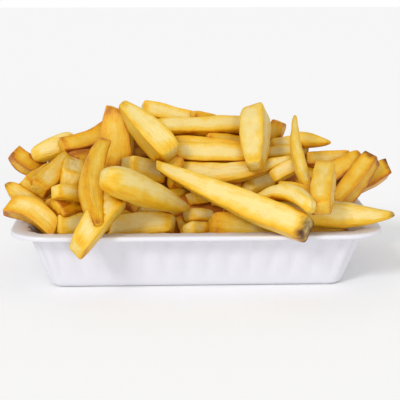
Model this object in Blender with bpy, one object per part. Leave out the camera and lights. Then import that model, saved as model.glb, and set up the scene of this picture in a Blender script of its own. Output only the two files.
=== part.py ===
"""A portion of french fries: a heap of fries in its white ribbed plastic tray.

The tray stands on Z = 0 with its middle over the origin, its long side along X and its front
at -Y. Sizes below are in millimetres and the meshes are in metres.
"""

import math
import random
from dataclasses import dataclass

import bmesh
import bpy
import numpy as np

METRES = 0.001

# Tray
RIM_HALF_LENGTH = 92.5
RIM_HALF_WIDTH = 56.0
TRAY_HEIGHT = 30.4
WALL = 0.9
FLANGE = 8.0
LIP_DROP = 2.3
LIP_ROUNDING = 0.4
BASE_HALF_LENGTH = 73.2
BASE_HALF_WIDTH = 36.8
BASE_EDGE = 2.4
WALL_TOP_CORNER = 12.5
BASE_CORNER = 7.0
SIDE_BOW = 0.8
FLUTES_ON_LONG_SIDE = 13
FLUTES_ON_SHORT_SIDE = 7
FLUTES_ON_CORNER = 2
FLUTE_DEPTH = 0.9
FLUTE_START = 13.0
POINTS_PER_FLUTE = 3
WALL_TOP = TRAY_HEIGHT - WALL

# Heap: how high its crest stands over the rim, along the tray
CREST_PLACES = (-98, -88, -72, -55, -42, -25, 0, 45, 58, 80, 99)
CREST_HEIGHTS = (18, 27, 35, 40, 50, 50, 48, 46, 40, 30, 20)
CREST_Y = 4.0
BACK_CREST_Y = 15.0
HEAP_HALF_WIDTH = 53.0
CORE_COVER_PLACES = (-30.0, 11.0, 22.0)
CORE_COVERS = (33.0, 37.0, 16.0)
CORE_POINTS = 40
CORE_INSET = 3.2
CORE_FLOOR = 1.5
CORE_SHOULDER = 19.0
CORE_SHARES = (0.94, 0.84, 0.7, 0.54, 0.36, 0.18)
CORE_SQUARENESS = 0.45
GAP = 0.4

# The point that the front of the heap is laid out from, and its direction of view
EYE = np.array((-20.9, -620.1, 165.5))
EYE_HEADING = math.radians(2.2)
EYE_PITCH = math.radians(11.73)
FOCAL_LENGTH = 1201.0
PICTURE_SIZE = 400
PICTURE_MIDDLE = PICTURE_SIZE / 2

# How fries lie on each other
SINK = 2.2
LAYER_DEPTH = 36.0
BACK_LAYER_Y = 22.0
STEEPEST = 1.1


@dataclass(frozen=True)
class Seen:
    """A fry of the front, given by its two ends in the picture and its sizes in millimetres.

    roll turns it about its length, bow bends it across the view and arch towards the viewer.
    narrow is the width left at each end, and blunt is how suddenly the ends narrow. depth is
    the Y of both ends, where the fry doesn't simply lie on the fries behind it.
    """

    name: str
    start: tuple
    end: tuple
    across: float
    roll: float = 12.0
    bow: float = 0.0
    arch: float = 0.0
    narrow: tuple = (0.86, 0.86)
    blunt: tuple = (7.0, 7.0)
    depth: tuple = ()


# From the back of the heap to its front
SEEN_FRIES = (
    Seen("leaf tip at right", (292, 139), (331, 143), 7.6, narrow=(0.8, 0.2), blunt=(5, 2.2)),
    Seen("stub behind the upright", (279, 121), (272, 143), 7.0, narrow=(0.8, 0.7)),
    Seen("crest fry", (142, 109), (198, 122), 8.4, roll=20),
    Seen("tip on the crest", (192, 115), (222, 123), 5.8, narrow=(0.7, 0.8)),
    Seen("long crest fry", (155, 129), (250, 126), 9.4, roll=32),
    Seen("pale piece right of the upright", (270, 147), (293, 142), 6.8),
    Seen("thin piece above the bowed fry", (266, 153), (294, 150), 5.6),
    Seen("fry behind the broad one", (306, 160), (350, 158), 7.2),
    Seen("turned up end at left", (13, 152), (43, 169), 8.8, roll=28, bow=-2.0),
    Seen("pale fry at left", (32, 157), (76, 140), 10.2, narrow=(0.6, 0.86), blunt=(4, 7)),
    Seen("sagging fry at left", (61, 147), (112, 126), 9.8, roll=26, bow=-3.2),
    Seen("deep piece under the sagging fry", (68, 163), (92, 159), 9.4),
    Seen("deep piece between the diagonals", (128, 152), (152, 150), 8.4),
    Seen("strip under the crest", (206, 142), (246, 145), 7.2),
    Seen("second fry under the crest", (172, 143), (246, 150), 7.6, roll=15),
    Seen("third fry under the crest", (173, 153), (250, 157), 9.4, roll=22),
    Seen("bowed fry", (172, 171), (303, 155), 10.2, bow=-4.6, narrow=(0.8, 0.22), blunt=(6, 1.7)),
    Seen("wedge at the top", (113, 106), (118, 168), 14.2, roll=-10, narrow=(0.5, 0.98), blunt=(1.5, 9)),
    Seen("pointed fry over the left rim", (6, 184), (58, 226), 8.4, narrow=(0.2, 0.8), blunt=(8, 6),
         depth=(-12, -24)),
    Seen("end behind the cut end", (26, 186), (50, 170), 7.0, depth=(-18, 0)),
    Seen("deep piece at left", (46, 208), (64, 205), 7.6),
    Seen("gold fry at left", (55, 211), (88, 204), 12.6, roll=25),
    Seen("pale fry over the gold one", (54, 192), (86, 196), 7.0),
    Seen("cut end facing front", (70, 181), (73, 163), 9.6, roll=8, depth=(-25, 8)),
    Seen("cut end at left", (38, 190), (68, 162), 9.4, depth=(-28, -2)),
    Seen("pale fry under the wedge", (126, 165), (162, 175), 10.4, roll=14),
    Seen("deep piece under the diagonal", (162, 163), (182, 169), 9.4),
    Seen("great diagonal", (121, 104), (171, 156), 15.4, roll=26, narrow=(0.5, 0.72), blunt=(3.4, 5)),
    Seen("upright fry", (256, 110), (254, 167), 14.0, roll=-20, narrow=(0.86, 0.5), blunt=(8, 2.6)),
    Seen("piece under the bowed fry", (272, 178), (299, 163), 6.8),
    Seen("small deep piece at right", (292, 185), (308, 186), 5.6),
    Seen("horn", (295, 116), (308, 188), 7.6, bow=-2.4, narrow=(0.22, 0.5), blunt=(1.6, 3)),
    Seen("deep piece under the crossing", (224, 188), (247, 190), 6.8),
    Seen("short pale fry", (245, 190), (271, 180), 8.0, roll=22),
    Seen("yellow fry behind the arch", (280, 190), (314, 194), 7.4),
    Seen("broad fry at right", (322, 180), (363, 157), 10.8, roll=15, narrow=(0.86, 0.6), blunt=(6, 4)),
    Seen("burnt end at right", (387, 168), (350, 188), 9.0, roll=10),
    Seen("two toned fry at right", (336, 207), (373, 157), 9.4, roll=30),
    Seen("standing fry at right", (326, 166), (320, 209), 9.8, roll=-12),
    Seen("arched fry", (257, 204), (313, 208), 6.9, bow=6.4),
    Seen("deep orange end", (128, 210), (148, 208), 10.4),
    Seen("small pale corner", (112, 216), (132, 218), 6.4),
    Seen("pale fry over the wall", (140, 213), (180, 210), 6.8),
    Seen("narrow end in front", (171, 224), (181, 243), 5.4),
    Seen("tan end in front", (180, 219), (190, 243), 6.2),
    Seen("upper stub in front", (186, 216), (212, 217), 7.2),
    Seen("lower stub in front", (186, 230), (213, 231), 7.6),
    Seen("yellow fry in front", (210, 227), (274, 237), 13.0, roll=18),
    Seen("strip behind the right rim", (308, 232), (350, 232), 6.6),
    Seen("pale fry in front", (103, 232), (174, 223), 12.6, roll=16, narrow=(0.86, 0.7), blunt=(7, 4)),
    Seen("pale fry along the wall", (54, 229), (104, 227), 10.4),
    Seen("strip at the left rim", (22, 201), (56, 238), 4.8, narrow=(0.3, 0.9), depth=(-14, -34)),
    Seen("square end over the left rim", (8, 209), (57, 235), 9.8, bow=3.0, depth=(-32, -40)),
    Seen("fry over the front rim", (119, 192), (76, 253), 12.2, roll=10, arch=4.0, depth=(-36, -69)),
    Seen("big pale fry", (104, 176), (186, 209), 13.6, roll=18, narrow=(0.6, 0.3), blunt=(9, 2.4)),
    Seen("tall bowed fry", (105, 141), (98, 224), 11.0, bow=-4.8, narrow=(0.5, 0.16), blunt=(3.4, 2.0),
         depth=(-18, -61)),
    Seen("long fry over the right rim", (272, 203), (396, 219), 12.2, roll=6, narrow=(0.5, 0.1),
         blunt=(1.8, 2.2), depth=(-41, -49)),
    Seen("long crossing fry", (156, 166), (308, 231), 12.8, roll=8, bow=-0.8, narrow=(0.5, 0.74),
         blunt=(1.8, 5), depth=(-22, -66)),
)

# The rest of the heap, which is laid by rule
LAID_SEED = 23
LAID_LENGTHS = (34.0, 74.0)
LAID_WIDTHS = (7.6, 11.0)
LAID_TURN = 0.6
LEAST_DEPTH = 3.5
LAID_TRIES = 6000
LAID_REACH_X = 97.0
LAID_REACH_Y = 53.0
MOST_SHIFT = 9.0
CLOSEST = 0.62
LINE_SHARES = np.linspace(0.04, 0.96, 11)

# Fries that hold up those that would hang free
NEARLY_TOUCHING = 1.3
LEAST_OVERLAP = 1.4
CORE_REACH = (74.0, 40.0)
PROP_TRIES = 4000
PROP_LENGTHS = (26.0, 56.0)
PROP_WIDTHS = (7.6, 10.4)
PROP_CLOSEST = 0.5
BRIDGE_WIDTH = 5.6

# Rings along a fry, as shares of its length
PLAIN_RINGS = (0.0, 1.0)
STRAIGHT_RINGS = (0.0, 0.08, 0.92, 1.0)
BENT_RINGS = (0.0, 0.08, 0.36, 0.64, 0.92, 1.0)
BEND_THAT_SHOWS = 1.2
EDGE_BEVEL = 0.14
CORNER_SHARE = 1 - 2 * EDGE_BEVEL
FATTER = 1.18


@dataclass
class Fry:
    """A fry in space: its two ends, the directions across it, and how it bends and narrows."""

    ends: tuple
    side: np.ndarray
    front: np.ndarray
    width: float
    height: float
    bend: np.ndarray
    narrow: tuple
    blunt: tuple
    plain: bool = False

    def middle_line(self, along):
        """Return the point of the fry's middle line at each share of its length."""
        along = np.asarray(along, float)[:, None]
        straight = self.ends[0] + (self.ends[1] - self.ends[0]) * along
        return straight + self.bend * 4 * along * (1 - along)

    def fullness(self, along):
        """Return how much of the full section is there at each share of the length."""
        return fullness(np.asarray(along, float), self.narrow, self.blunt)

    def surface(self, along, across, out):
        """Return points of the fry, with across and out running from -0.5 to 0.5."""
        full = self.fullness(along)[:, None]
        sideways = self.side * self.width * np.asarray(across)[:, None]
        outwards = self.front * self.height * np.asarray(out)[:, None]
        return self.middle_line(along) + full * (sideways + outwards)

    def depth_inside(self, points):
        """Return how deep points lie in the fry, below zero where they lie outside."""
        axis = self.ends[1] - self.ends[0]
        length = np.linalg.norm(axis)
        along = (points - self.ends[0]) @ axis / length ** 2
        within = np.clip(along, 0, 1)
        offset = points - self.middle_line(within)
        width, height = self.width * self.fullness(within), self.height * self.fullness(within)
        across, out = np.abs(offset @ self.side), np.abs(offset @ self.front)
        corner = (1 - EDGE_BEVEL - across / width - out / height) * width / math.sqrt(2)
        sides = np.minimum(width / 2 - across, height / 2 - out)
        ends = np.minimum(along, 1 - along) * length
        return np.min((sides, corner, ends), axis=0)

    def move(self, step):
        """Shift the whole fry."""
        self.ends = (self.ends[0] + step, self.ends[1] + step)


def fullness(along, narrow, blunt):
    """Return the share of the full section left at each share of the length."""
    first = 1 - (1 - narrow[0]) * (1 - along) ** blunt[0]
    last = 1 - (1 - narrow[1]) * along ** blunt[1]
    return first * last


def unit(vector):
    """Return the vector at length one."""
    return vector / np.linalg.norm(vector)


# Places in the picture

def view_axes():
    """Return the directions forward, right and up of the view."""
    forward = np.array((
        math.sin(EYE_HEADING) * math.cos(EYE_PITCH),
        math.cos(EYE_HEADING) * math.cos(EYE_PITCH),
        -math.sin(EYE_PITCH),
    ))
    right = np.array((math.cos(EYE_HEADING), -math.sin(EYE_HEADING), 0.0))
    return forward, right, np.cross(right, forward)


FORWARD, RIGHT, UPWARD = view_axes()


def ray(u, v):
    """Return the direction through a place of the picture, one unit deep."""
    across = (np.asarray(u, float)[..., None] - PICTURE_MIDDLE) / FOCAL_LENGTH
    down = (np.asarray(v, float)[..., None] - PICTURE_MIDDLE) / FOCAL_LENGTH
    return FORWARD + RIGHT * across - UPWARD * down


def seen_at(points):
    """Return the place in the picture and the depth of each point."""
    offset = points - EYE
    depth = offset @ FORWARD
    u = PICTURE_MIDDLE + FOCAL_LENGTH * (offset @ RIGHT) / depth
    v = PICTURE_MIDDLE - FOCAL_LENGTH * (offset @ UPWARD) / depth
    return u, v, depth


def depth_at_y(u, v, y):
    """Return how deep the picture's place lies where it meets the plane of that Y."""
    return (y - EYE[1]) / ray(u, v)[..., 1]


# Heap

def crest_over_rim(x):
    """Return how far the heap's crest stands over the rim."""
    return np.interp(x, CREST_PLACES, CREST_HEIGHTS)


def heap_height(x, y):
    """Return the height of the heap's outer form."""
    front = np.clip((CREST_Y - y) / (CREST_Y + HEAP_HALF_WIDTH), 0, 1.3) ** 1.15
    back = np.clip((y - BACK_CREST_Y) / (HEAP_HALF_WIDTH - BACK_CREST_Y), 0, 1.3) ** 1.5
    return TRAY_HEIGHT + crest_over_rim(x) * (1 - front - back)


def core_height(x, y):
    """Return the height of the core's top, which lies deeper under the front than the back."""
    return heap_height(x, y) - np.interp(y, CORE_COVER_PLACES, CORE_COVERS)


def support_depths():
    """Return, for each place of the picture, how deep the fries of the first layer may lie."""
    v, u = np.mgrid[0:PICTURE_SIZE, 0:PICTURE_SIZE].astype(float)
    way = ray(u, v)
    run = CREST_Y + HEAP_HALF_WIDTH
    depth = depth_at_y(u, v, CREST_Y)
    for _ in range(3):
        rise = crest_over_rim(EYE[0] + way[..., 0] * depth) / run
        gap = TRAY_HEIGHT + rise * (EYE[1] + HEAP_HALF_WIDTH) - EYE[2]
        depth = gap / (way[..., 2] - rise * way[..., 1])
        depth = np.where(depth > 0, depth, np.inf)
        depth = np.minimum(depth, depth_at_y(u, v, CREST_Y))
    return np.minimum(depth + LAYER_DEPTH, depth_at_y(u, v, BACK_LAYER_Y))


class Picture:
    """What the view sees: how deep the nearest fry lies at each place, and where fries are."""

    def __init__(self):
        self.depth = support_depths()
        self.nearest = np.full(self.depth.shape, -np.inf)

    def footprint(self, seen, half_width):
        """Return the places that a fry covers, with their shares along and across it."""
        start, end = np.array(seen.start, float), np.array(seen.end, float)
        along_step = end - start
        normal = np.array((-along_step[1], along_step[0])) / np.linalg.norm(along_step)
        if picks_other_side(normal):
            normal = -normal
        bow = seen.bow * FOCAL_LENGTH / 620.0
        margin = half_width + abs(bow) + 2
        low = np.maximum(np.minimum(start, end) - margin, 0).astype(int)
        high = np.minimum(np.maximum(start, end) + margin, PICTURE_SIZE - 1).astype(int)
        v, u = np.mgrid[low[1]:high[1] + 1, low[0]:high[0] + 1]
        offset = np.stack((u - start[0], v - start[1]), -1)
        along = offset @ along_step / (along_step @ along_step)
        inside = (along >= 0) & (along <= 1)
        along = np.clip(along, 0, 1)
        across = offset @ normal - bow * 4 * along * (1 - along)
        across = across / (half_width * fullness(along, seen.narrow, seen.blunt))
        inside &= np.abs(across) <= 1
        return v[inside], u[inside], along[inside], across[inside]

    def lay(self, seen, half_width, half_height):
        """Return the depth of both ends of a fry that is pushed back until it lies on others."""
        v, u, along, across = self.footprint(seen, half_width)
        room = self.depth[v, u] - half_height * np.sqrt(1 - 0.5 * across ** 2) + SINK
        return resting_line(along, room, math.dist(seen.start, seen.end) * 0.52)

    def cover(self, fry):
        """Enter a fry that has been placed."""
        along, across, out = surface_samples(60, 13)
        points = fry.surface(along, across, out)
        u, v, depth = seen_at(points)
        u, v = np.round(u).astype(int), np.round(v).astype(int)
        inside = (u >= 0) & (u < PICTURE_SIZE) & (v >= 0) & (v < PICTURE_SIZE)
        place = (v[inside], u[inside])
        np.minimum.at(self.depth, place, depth[inside])
        self.nearest[place] = self.depth[place]

    def stays_hidden(self, fry):
        """Tell whether a fry stays under the skyline and hides no fry of the front."""
        along, across, out = surface_samples(24, 5)
        u, v, depth = seen_at(fry.surface(along, across, out))
        u = np.clip(np.round(u).astype(int), 0, PICTURE_SIZE - 1)
        v = np.clip(np.round(v).astype(int), 0, PICTURE_SIZE - 1)
        return bool((v >= self.skyline[u]).all() and (depth > self.nearest[v, u] + 1).all())

    def close_skyline(self):
        """Note the highest covered place of each column, once the front is laid."""
        covered = np.isfinite(self.nearest)
        highest = np.argmax(covered, axis=0)
        self.skyline = np.where(covered.any(axis=0), highest + 1, PICTURE_SIZE)


def picks_other_side(direction):
    """Tell whether a direction in the picture points down, or left where it is level."""
    if abs(direction[1]) < 0.25:
        return direction[0] < 0
    return direction[1] > 0


def surface_samples(stations, points_round):
    """Return shares along, across and out of points spread over a fry's surface."""
    step = np.linspace(-0.5, 0.5, points_round)
    edge = np.full(points_round, 0.5)
    across = np.concatenate((step, step, edge, -edge))
    out = np.concatenate((edge, -edge, step, step))
    along = np.repeat(np.linspace(0, 1, stations), len(across))
    return along, np.tile(across, stations), np.tile(out, stations)


def resting_line(along, room, length):
    """Return the values at both ends of the line that lies furthest under all the room.

    It touches on both sides of the middle, as a straight thing does when it rests.
    """
    bins = np.linspace(0, 1, 25)
    which = np.clip(np.digitize(along, bins) - 1, 0, 23)
    middles = (bins[:-1] + bins[1:]) / 2
    lowest = np.full(24, np.inf)
    np.minimum.at(lowest, which, room)
    known = np.isfinite(lowest)
    middles, lowest = middles[known], lowest[known]
    left, right = middles <= 0.5, middles > 0.5
    near, far = np.meshgrid(np.flatnonzero(left), np.flatnonzero(right), indexing="ij")
    spread = middles[far] - middles[near]
    slopes = (lowest[far] - lowest[near]) / spread
    halfway = lowest[near] + slopes * (0.5 - middles[near])
    slope = slopes.flat[np.argmin(halfway)]
    slope = float(np.clip(slope, -STEEPEST * length, STEEPEST * length))
    first = float(np.min(lowest - slope * middles))
    return first, first + slope


def fry_in_view(seen, picture):
    """Return the fry in space for one that the picture shows."""
    roll = math.radians(seen.roll)
    width = FATTER * seen.across / (math.cos(roll) + CORNER_SHARE * abs(math.sin(roll)))
    start, end = np.array(seen.start, float), np.array(seen.end, float)
    if seen.depth:
        depths = (depth_at_y(*start, seen.depth[0]), depth_at_y(*end, seen.depth[1]))
    else:
        half_width = seen.across / 2 * FOCAL_LENGTH / 620.0
        depths = picture.lay(seen, half_width, width / 2)
    ends = (EYE + ray(*start) * depths[0], EYE + ray(*end) * depths[1])
    axis = unit(ends[1] - ends[0])
    to_eye = unit(EYE - (ends[0] + ends[1]) / 2)
    up = unit(np.cross(axis, to_eye))
    if picks_other_side((up @ RIGHT, -(up @ UPWARD))):
        up = -up
    out = unit(to_eye - axis * (to_eye @ axis))
    front = out * math.cos(roll) + up * math.sin(roll)
    side = up * math.cos(roll) - out * math.sin(roll)
    bend = up * seen.bow + out * seen.arch
    return Fry(ends, side, front, width, width, bend, seen.narrow, seen.blunt)


# Tray as a section, for keeping fries clear of it

def wall_sizes(z):
    """Return the half length, half width and corner radius of the tray's outside at a height."""
    share = np.clip(z / WALL_TOP, 0, 1)
    half_length = BASE_HALF_LENGTH + (RIM_HALF_LENGTH - FLANGE - BASE_HALF_LENGTH) * share
    half_width = BASE_HALF_WIDTH + (RIM_HALF_WIDTH - FLANGE - BASE_HALF_WIDTH) * share
    return half_length, half_width, BASE_CORNER + (WALL_TOP_CORNER - BASE_CORNER) * share


def outline_distance(points, half_length, half_width, radius):
    """Return how far points lie outside a rounded rectangle, and the directions straight out."""
    over_x = np.abs(points[:, 0]) - (half_length - radius)
    over_y = np.abs(points[:, 1]) - (half_width - radius)
    outside = np.hypot(np.maximum(over_x, 0), np.maximum(over_y, 0))
    distance = outside + np.minimum(np.maximum(over_x, over_y), 0) - radius
    in_corner = (over_x > 0) & (over_y > 0)
    way_x = np.where(in_corner, over_x, over_x >= over_y) * np.sign(points[:, 0])
    way_y = np.where(in_corner, over_y, over_x < over_y) * np.sign(points[:, 1])
    length = np.maximum(np.hypot(way_x, way_y), 1e-9)
    return distance, np.stack((way_x / length, way_y / length), -1)


def tray_room(points):
    """Return how far points are clear of the tray, and the directions that take them off it."""
    half_length, half_width, radius = wall_sizes(points[:, 2])
    distance, straight_out = outline_distance(points, half_length, half_width, radius)
    top_length = RIM_HALF_LENGTH - FLANGE
    place = np.stack((distance + half_length - top_length, points[:, 2]), -1)
    inset = BASE_HALF_LENGTH - top_length
    half = WALL / 2
    section = (
        ((inset - 40, half), (inset, half), half),
        ((inset, half), (-half, TRAY_HEIGHT - half), half + FLUTE_DEPTH),
        ((-half, TRAY_HEIGHT - half), (FLANGE - half, TRAY_HEIGHT - half), half),
        ((FLANGE - half, TRAY_HEIGHT - half), (FLANGE - half, TRAY_HEIGHT - LIP_DROP), half),
    )
    room = np.full(len(points), np.inf)
    way = np.zeros((len(points), 2))
    for first, last, thickness in section:
        first, run = np.array(first), np.array(last) - np.array(first)
        share = np.clip((place - first) @ run / (run @ run), 0, 1)[:, None]
        offset = place - first - run * share
        length = np.maximum(np.linalg.norm(offset, axis=1), 1e-6)
        nearer = length - thickness < room
        room = np.where(nearer, length - thickness, room)
        way = np.where(nearer[:, None], offset / length[:, None], way)
    direction = np.concatenate((straight_out * way[:, :1], way[:, 1:]), axis=1)
    return room - GAP, direction


def stay_inside(fry):
    """Move a fry that lies within the walls inward, or up where that is less, off the tray."""
    along, across, out = surface_samples(26, 5)
    for _ in range(8):
        points = fry.surface(along, across, out)
        distance, straight_out = outline_distance(points, *wall_sizes(points[:, 2]))
        into_wall = distance + WALL + FLUTE_DEPTH + 2 * GAP
        under_rim = TRAY_HEIGHT + GAP - points[:, 2]
        under_floor = WALL + GAP - points[:, 2]
        touching = (into_wall > 0) & (under_rim > 0) & (distance < FLANGE + 2)
        if under_floor.max() > 0:
            fry.move(np.array((0, 0, under_floor.max())))
        elif not touching.any():
            return
        elif into_wall[touching].max() < 2 * under_rim[touching].max():
            worst = np.flatnonzero(touching)[np.argmax(into_wall[touching])]
            fry.move(np.array((*(-straight_out[worst] * into_wall[worst]), 0.0)))
        else:
            fry.move(np.array((0, 0, under_rim[touching].max())))


def clear_the_tray(fry):
    """Move a fry until it no longer touches the tray, and tell whether it came clear."""
    along, across, out = surface_samples(26, 5)
    half_length, half_width, _ = wall_sizes(WALL_TOP)
    line = fry.middle_line(np.linspace(0, 1, 9))
    if (np.abs(line[:, 0]) < half_length).all() and (np.abs(line[:, 1]) < half_width).all():
        stay_inside(fry)
    for _ in range(60):
        room, direction = tray_room(fry.surface(along, across, out))
        worst = int(np.argmin(room))
        if room[worst] >= 0:
            return True
        step = direction[worst] * (0.05 - room[worst])
        step[2] += 0.1
        fry.move(step)
    return False


# Fries laid by rule

def drawn_fry(draw):
    """Return a fry at a drawn place that follows the heap's form at a drawn depth under it."""
    length, width = draw.uniform(*LAID_LENGTHS), draw.uniform(*LAID_WIDTHS)
    heading = draw.gauss(0, LAID_TURN)
    middle = np.array((draw.uniform(-LAID_REACH_X, LAID_REACH_X), draw.uniform(-LAID_REACH_Y, LAID_REACH_Y)))
    flat = np.array((math.cos(heading), math.sin(heading)))
    depth = draw.uniform(LEAST_DEPTH, float(np.interp(middle[1], CORE_COVER_PLACES, CORE_COVERS)))
    ends = []
    for place in (middle - flat * length / 2, middle + flat * length / 2):
        ends.append(np.array((*place, float(heap_height(*place)) - depth)))
    axis = unit(ends[1] - ends[0])
    level = unit(np.cross((0, 0, 1.0), axis))
    up = np.cross(axis, level)
    roll = math.radians(draw.uniform(-35, 35))
    side = level * math.cos(roll) + up * math.sin(roll)
    front = up * math.cos(roll) - level * math.sin(roll)
    narrow = (draw.choice((0.86, 0.8, 0.4)), draw.choice((0.86, 0.7, 0.86)))
    blunt = (draw.choice((7, 4, 2.5)), draw.choice((7, 5, 3)))
    bend = level * draw.gauss(0, 0.03) * length
    return Fry(tuple(ends), side, front, width, width * draw.uniform(0.85, 1.0), bend, narrow, blunt)


def stays_over_tray(fry):
    """Tell whether both ends lie over the tray or in it, and the fry isn't too steep."""
    places = np.array(fry.ends)
    rise = abs(places[1, 2] - places[0, 2]) / np.linalg.norm(places[1, :2] - places[0, :2])
    in_reach = (np.abs(places[:, :2]) < (LAID_REACH_X, LAID_REACH_Y)).all()
    distance, _ = outline_distance(places, *wall_sizes(places[:, 2]))
    within = (distance < 0) | (places[:, 2] > TRAY_HEIGHT)
    return bool(in_reach and rise < STEEPEST and within.all())


class Heap:
    """The fries laid so far, with their middle lines and thicknesses for measuring."""

    def __init__(self):
        self.fries = []
        self.lines = np.empty((0, len(LINE_SHARES), 3))
        self.sizes = np.empty((0, len(LINE_SHARES)))
        self.touching = np.zeros((0, 0), bool)

    def add(self, fry):
        """Take in a fry."""
        touched = self.touched(fry)
        self.touching = np.pad(self.touching, ((0, 1), (0, 1)))
        self.touching[-1, :-1] = touched
        self.touching[:-1, -1] = touched
        self.fries.append(fry)
        self.lines = np.append(self.lines, [fry.middle_line(LINE_SHARES)], axis=0)
        self.sizes = np.append(self.sizes, [fry.width * fry.fullness(LINE_SHARES)], axis=0)

    def closeness(self, fry):
        """Return how close a fry comes to each one, as a share of their mean thickness."""
        line = fry.middle_line(LINE_SHARES)
        size = fry.width * fry.fullness(LINE_SHARES)
        apart = np.linalg.norm(self.lines[:, :, None, :] - line, axis=-1)
        return (2 * apart / (self.sizes[:, :, None] + size)).min(axis=(1, 2))

    def has_room(self, fry, closest=CLOSEST):
        """Tell whether a fry keeps off the others."""
        return bool((self.closeness(fry) > closest).all())

    def touched(self, fry):
        """Tell of each one whether a fry overlaps it."""
        touched = np.zeros(len(self.fries), bool)
        if self.fries:
            for number in np.flatnonzero(self.closeness(fry) < NEARLY_TOUCHING):
                touched[number] = overlap(fry, self.fries[number]) > LEAST_OVERLAP
        return touched

    def held(self):
        """Tell of each fry whether it touches the core, itself or through others."""
        held = np.array([touches_core(fry) for fry in self.fries])
        while True:
            reached = held | self.touching[held].any(axis=0)
            if (reached == held).all():
                return held
            held = reached


def overlap(fry, other):
    """Return how deep one fry reaches into another."""
    samples = surface_samples(14, 5)
    into_other = other.depth_inside(fry.surface(*samples)).max()
    into_fry = fry.depth_inside(other.surface(*samples)).max()
    return max(into_other, into_fry)


def touches_core(fry):
    """Tell whether a fry reaches into the core."""
    x, y, z = fry.middle_line(LINE_SHARES).T
    over_core = (np.abs(x) < CORE_REACH[0]) & (np.abs(y) < CORE_REACH[1])
    low = z - 0.3 * fry.height < np.maximum(core_height(x, y) - 1.5, CORE_SHOULDER - 1.5)
    return bool((over_core & low).any())


def lay_the_rest(picture, heap):
    """Fill the heap out to its form where the picture shows no fries."""
    draw = random.Random(LAID_SEED)
    for _ in range(LAID_TRIES):
        fry = drawn_fry(draw)
        if not stays_over_tray(fry) or not heap.has_room(fry):
            continue
        drawn_at = fry.ends[0]
        if not clear_the_tray(fry) or np.linalg.norm(fry.ends[0] - drawn_at) > MOST_SHIFT:
            continue
        if stays_over_tray(fry) and heap.has_room(fry) and picture.stays_hidden(fry):
            heap.add(fry)


def drawn_prop(draw, held_up):
    """Return a fry at a drawn place against the underside or the back of another one."""
    width, length = draw.uniform(*PROP_WIDTHS), draw.uniform(*PROP_LENGTHS)
    below = held_up.middle_line([draw.uniform(0.1, 0.9)])[0]
    away = unit(FORWARD * draw.uniform(0, 1) - np.array((0, 0, draw.uniform(0, 1))))
    touch = below + away * 0.72 * (width + held_up.width) / 2
    heading, share = draw.uniform(-math.pi, math.pi), draw.uniform(0, 0.5)
    axis = unit(np.array((math.cos(heading), math.sin(heading), draw.uniform(-0.9, 0.3))))
    ends = (touch - axis * length * share, touch + axis * length * (1 - share))
    level = unit(np.cross((0, 0, 1.0), axis))
    return Fry(ends, level, np.cross(axis, level), width, width, 0 * axis, (1, 1), (7, 7), plain=True)


def holds(prop, heap, held, picture):
    """Tell whether a prop joins a loose fry to the held ones and may stay where it is."""
    if heap.closeness(prop).min() < PROP_CLOSEST or not stays_over_tray(prop):
        return False
    if not picture.stays_hidden(prop) or tray_room(prop.surface(*surface_samples(26, 5)))[0].min() < 0:
        return False
    touched = heap.touched(prop)
    return bool((touched & ~held).any() and ((touched & held).any() or touches_core(prop)))


def bridge(heap, held):
    """Add a short piece between a fry that hangs free and the held one nearest to it."""
    narrowest = np.inf
    for loose in np.flatnonzero(~held):
        apart = np.linalg.norm(heap.lines[held][:, :, None, :] - heap.lines[loose], axis=-1)
        gap = apart - (heap.sizes[held][:, :, None] + heap.sizes[loose]) / 2
        place = np.unravel_index(np.argmin(gap), gap.shape)
        if gap[place] < narrowest:
            narrowest = gap[place]
            numbers = (np.flatnonzero(held)[place[0]], loose)
            ends = (heap.lines[held][place[0], place[1]], heap.lines[loose][place[2]])
    axis = unit(ends[1] - ends[0])
    level = unit(np.cross((0.3, 0.2, 1.0), axis))
    heap.add(Fry(ends, level, np.cross(axis, level), BRIDGE_WIDTH, BRIDGE_WIDTH, 0 * axis,
                 (1, 1), (7, 7), plain=True))
    for number in numbers:
        heap.touching[number, -1] = True
        heap.touching[-1, number] = True


def join_up(heap):
    """Bridge the narrow gaps that are left, so that the heap is one solid."""
    held = heap.held()
    while not held.all():
        bridge(heap, held)
        held = heap.held()


def prop_up(picture, heap):
    """Add fries until each one that would hang free is held."""
    draw = random.Random(LAID_SEED)
    held = heap.held()
    for _ in range(PROP_TRIES):
        if held.all():
            return
        prop = drawn_prop(draw, heap.fries[draw.choice(list(np.flatnonzero(~held)))])
        if holds(prop, heap, held, picture):
            heap.add(prop)
            held = heap.held()


def heap_of_fries():
    """Return every fry of the heap."""
    picture = Picture()
    heap = Heap()
    for seen in SEEN_FRIES:
        fry = fry_in_view(seen, picture)
        if clear_the_tray(fry):
            picture.cover(fry)
            heap.add(fry)
    picture.close_skyline()
    lay_the_rest(picture, heap)
    prop_up(picture, heap)
    join_up(heap)
    return heap.fries


# Meshes

def add_object(name, mesh_builder, collection, material=None):
    """Add an object with the mesh that a bmesh gives, and return it."""
    mesh = bpy.data.meshes.new(name)
    mesh_builder.to_mesh(mesh)
    mesh_builder.free()
    thing = bpy.data.objects.new(name, mesh)
    collection.objects.link(thing)
    if material:
        mesh.materials.append(material)
    return thing


def finish(name, colour, roughness, specular=0.5):
    """Return a material of that colour and roughness."""
    material = bpy.data.materials.new(name)
    material.use_nodes = True
    shader = material.node_tree.nodes["Principled BSDF"]
    shader.inputs["Base Color"].default_value = (*colour, 1.0)
    shader.inputs["Roughness"].default_value = roughness
    shader.inputs["Specular IOR Level"].default_value = specular
    material.diffuse_color = (*colour, 1.0)
    return material


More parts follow.
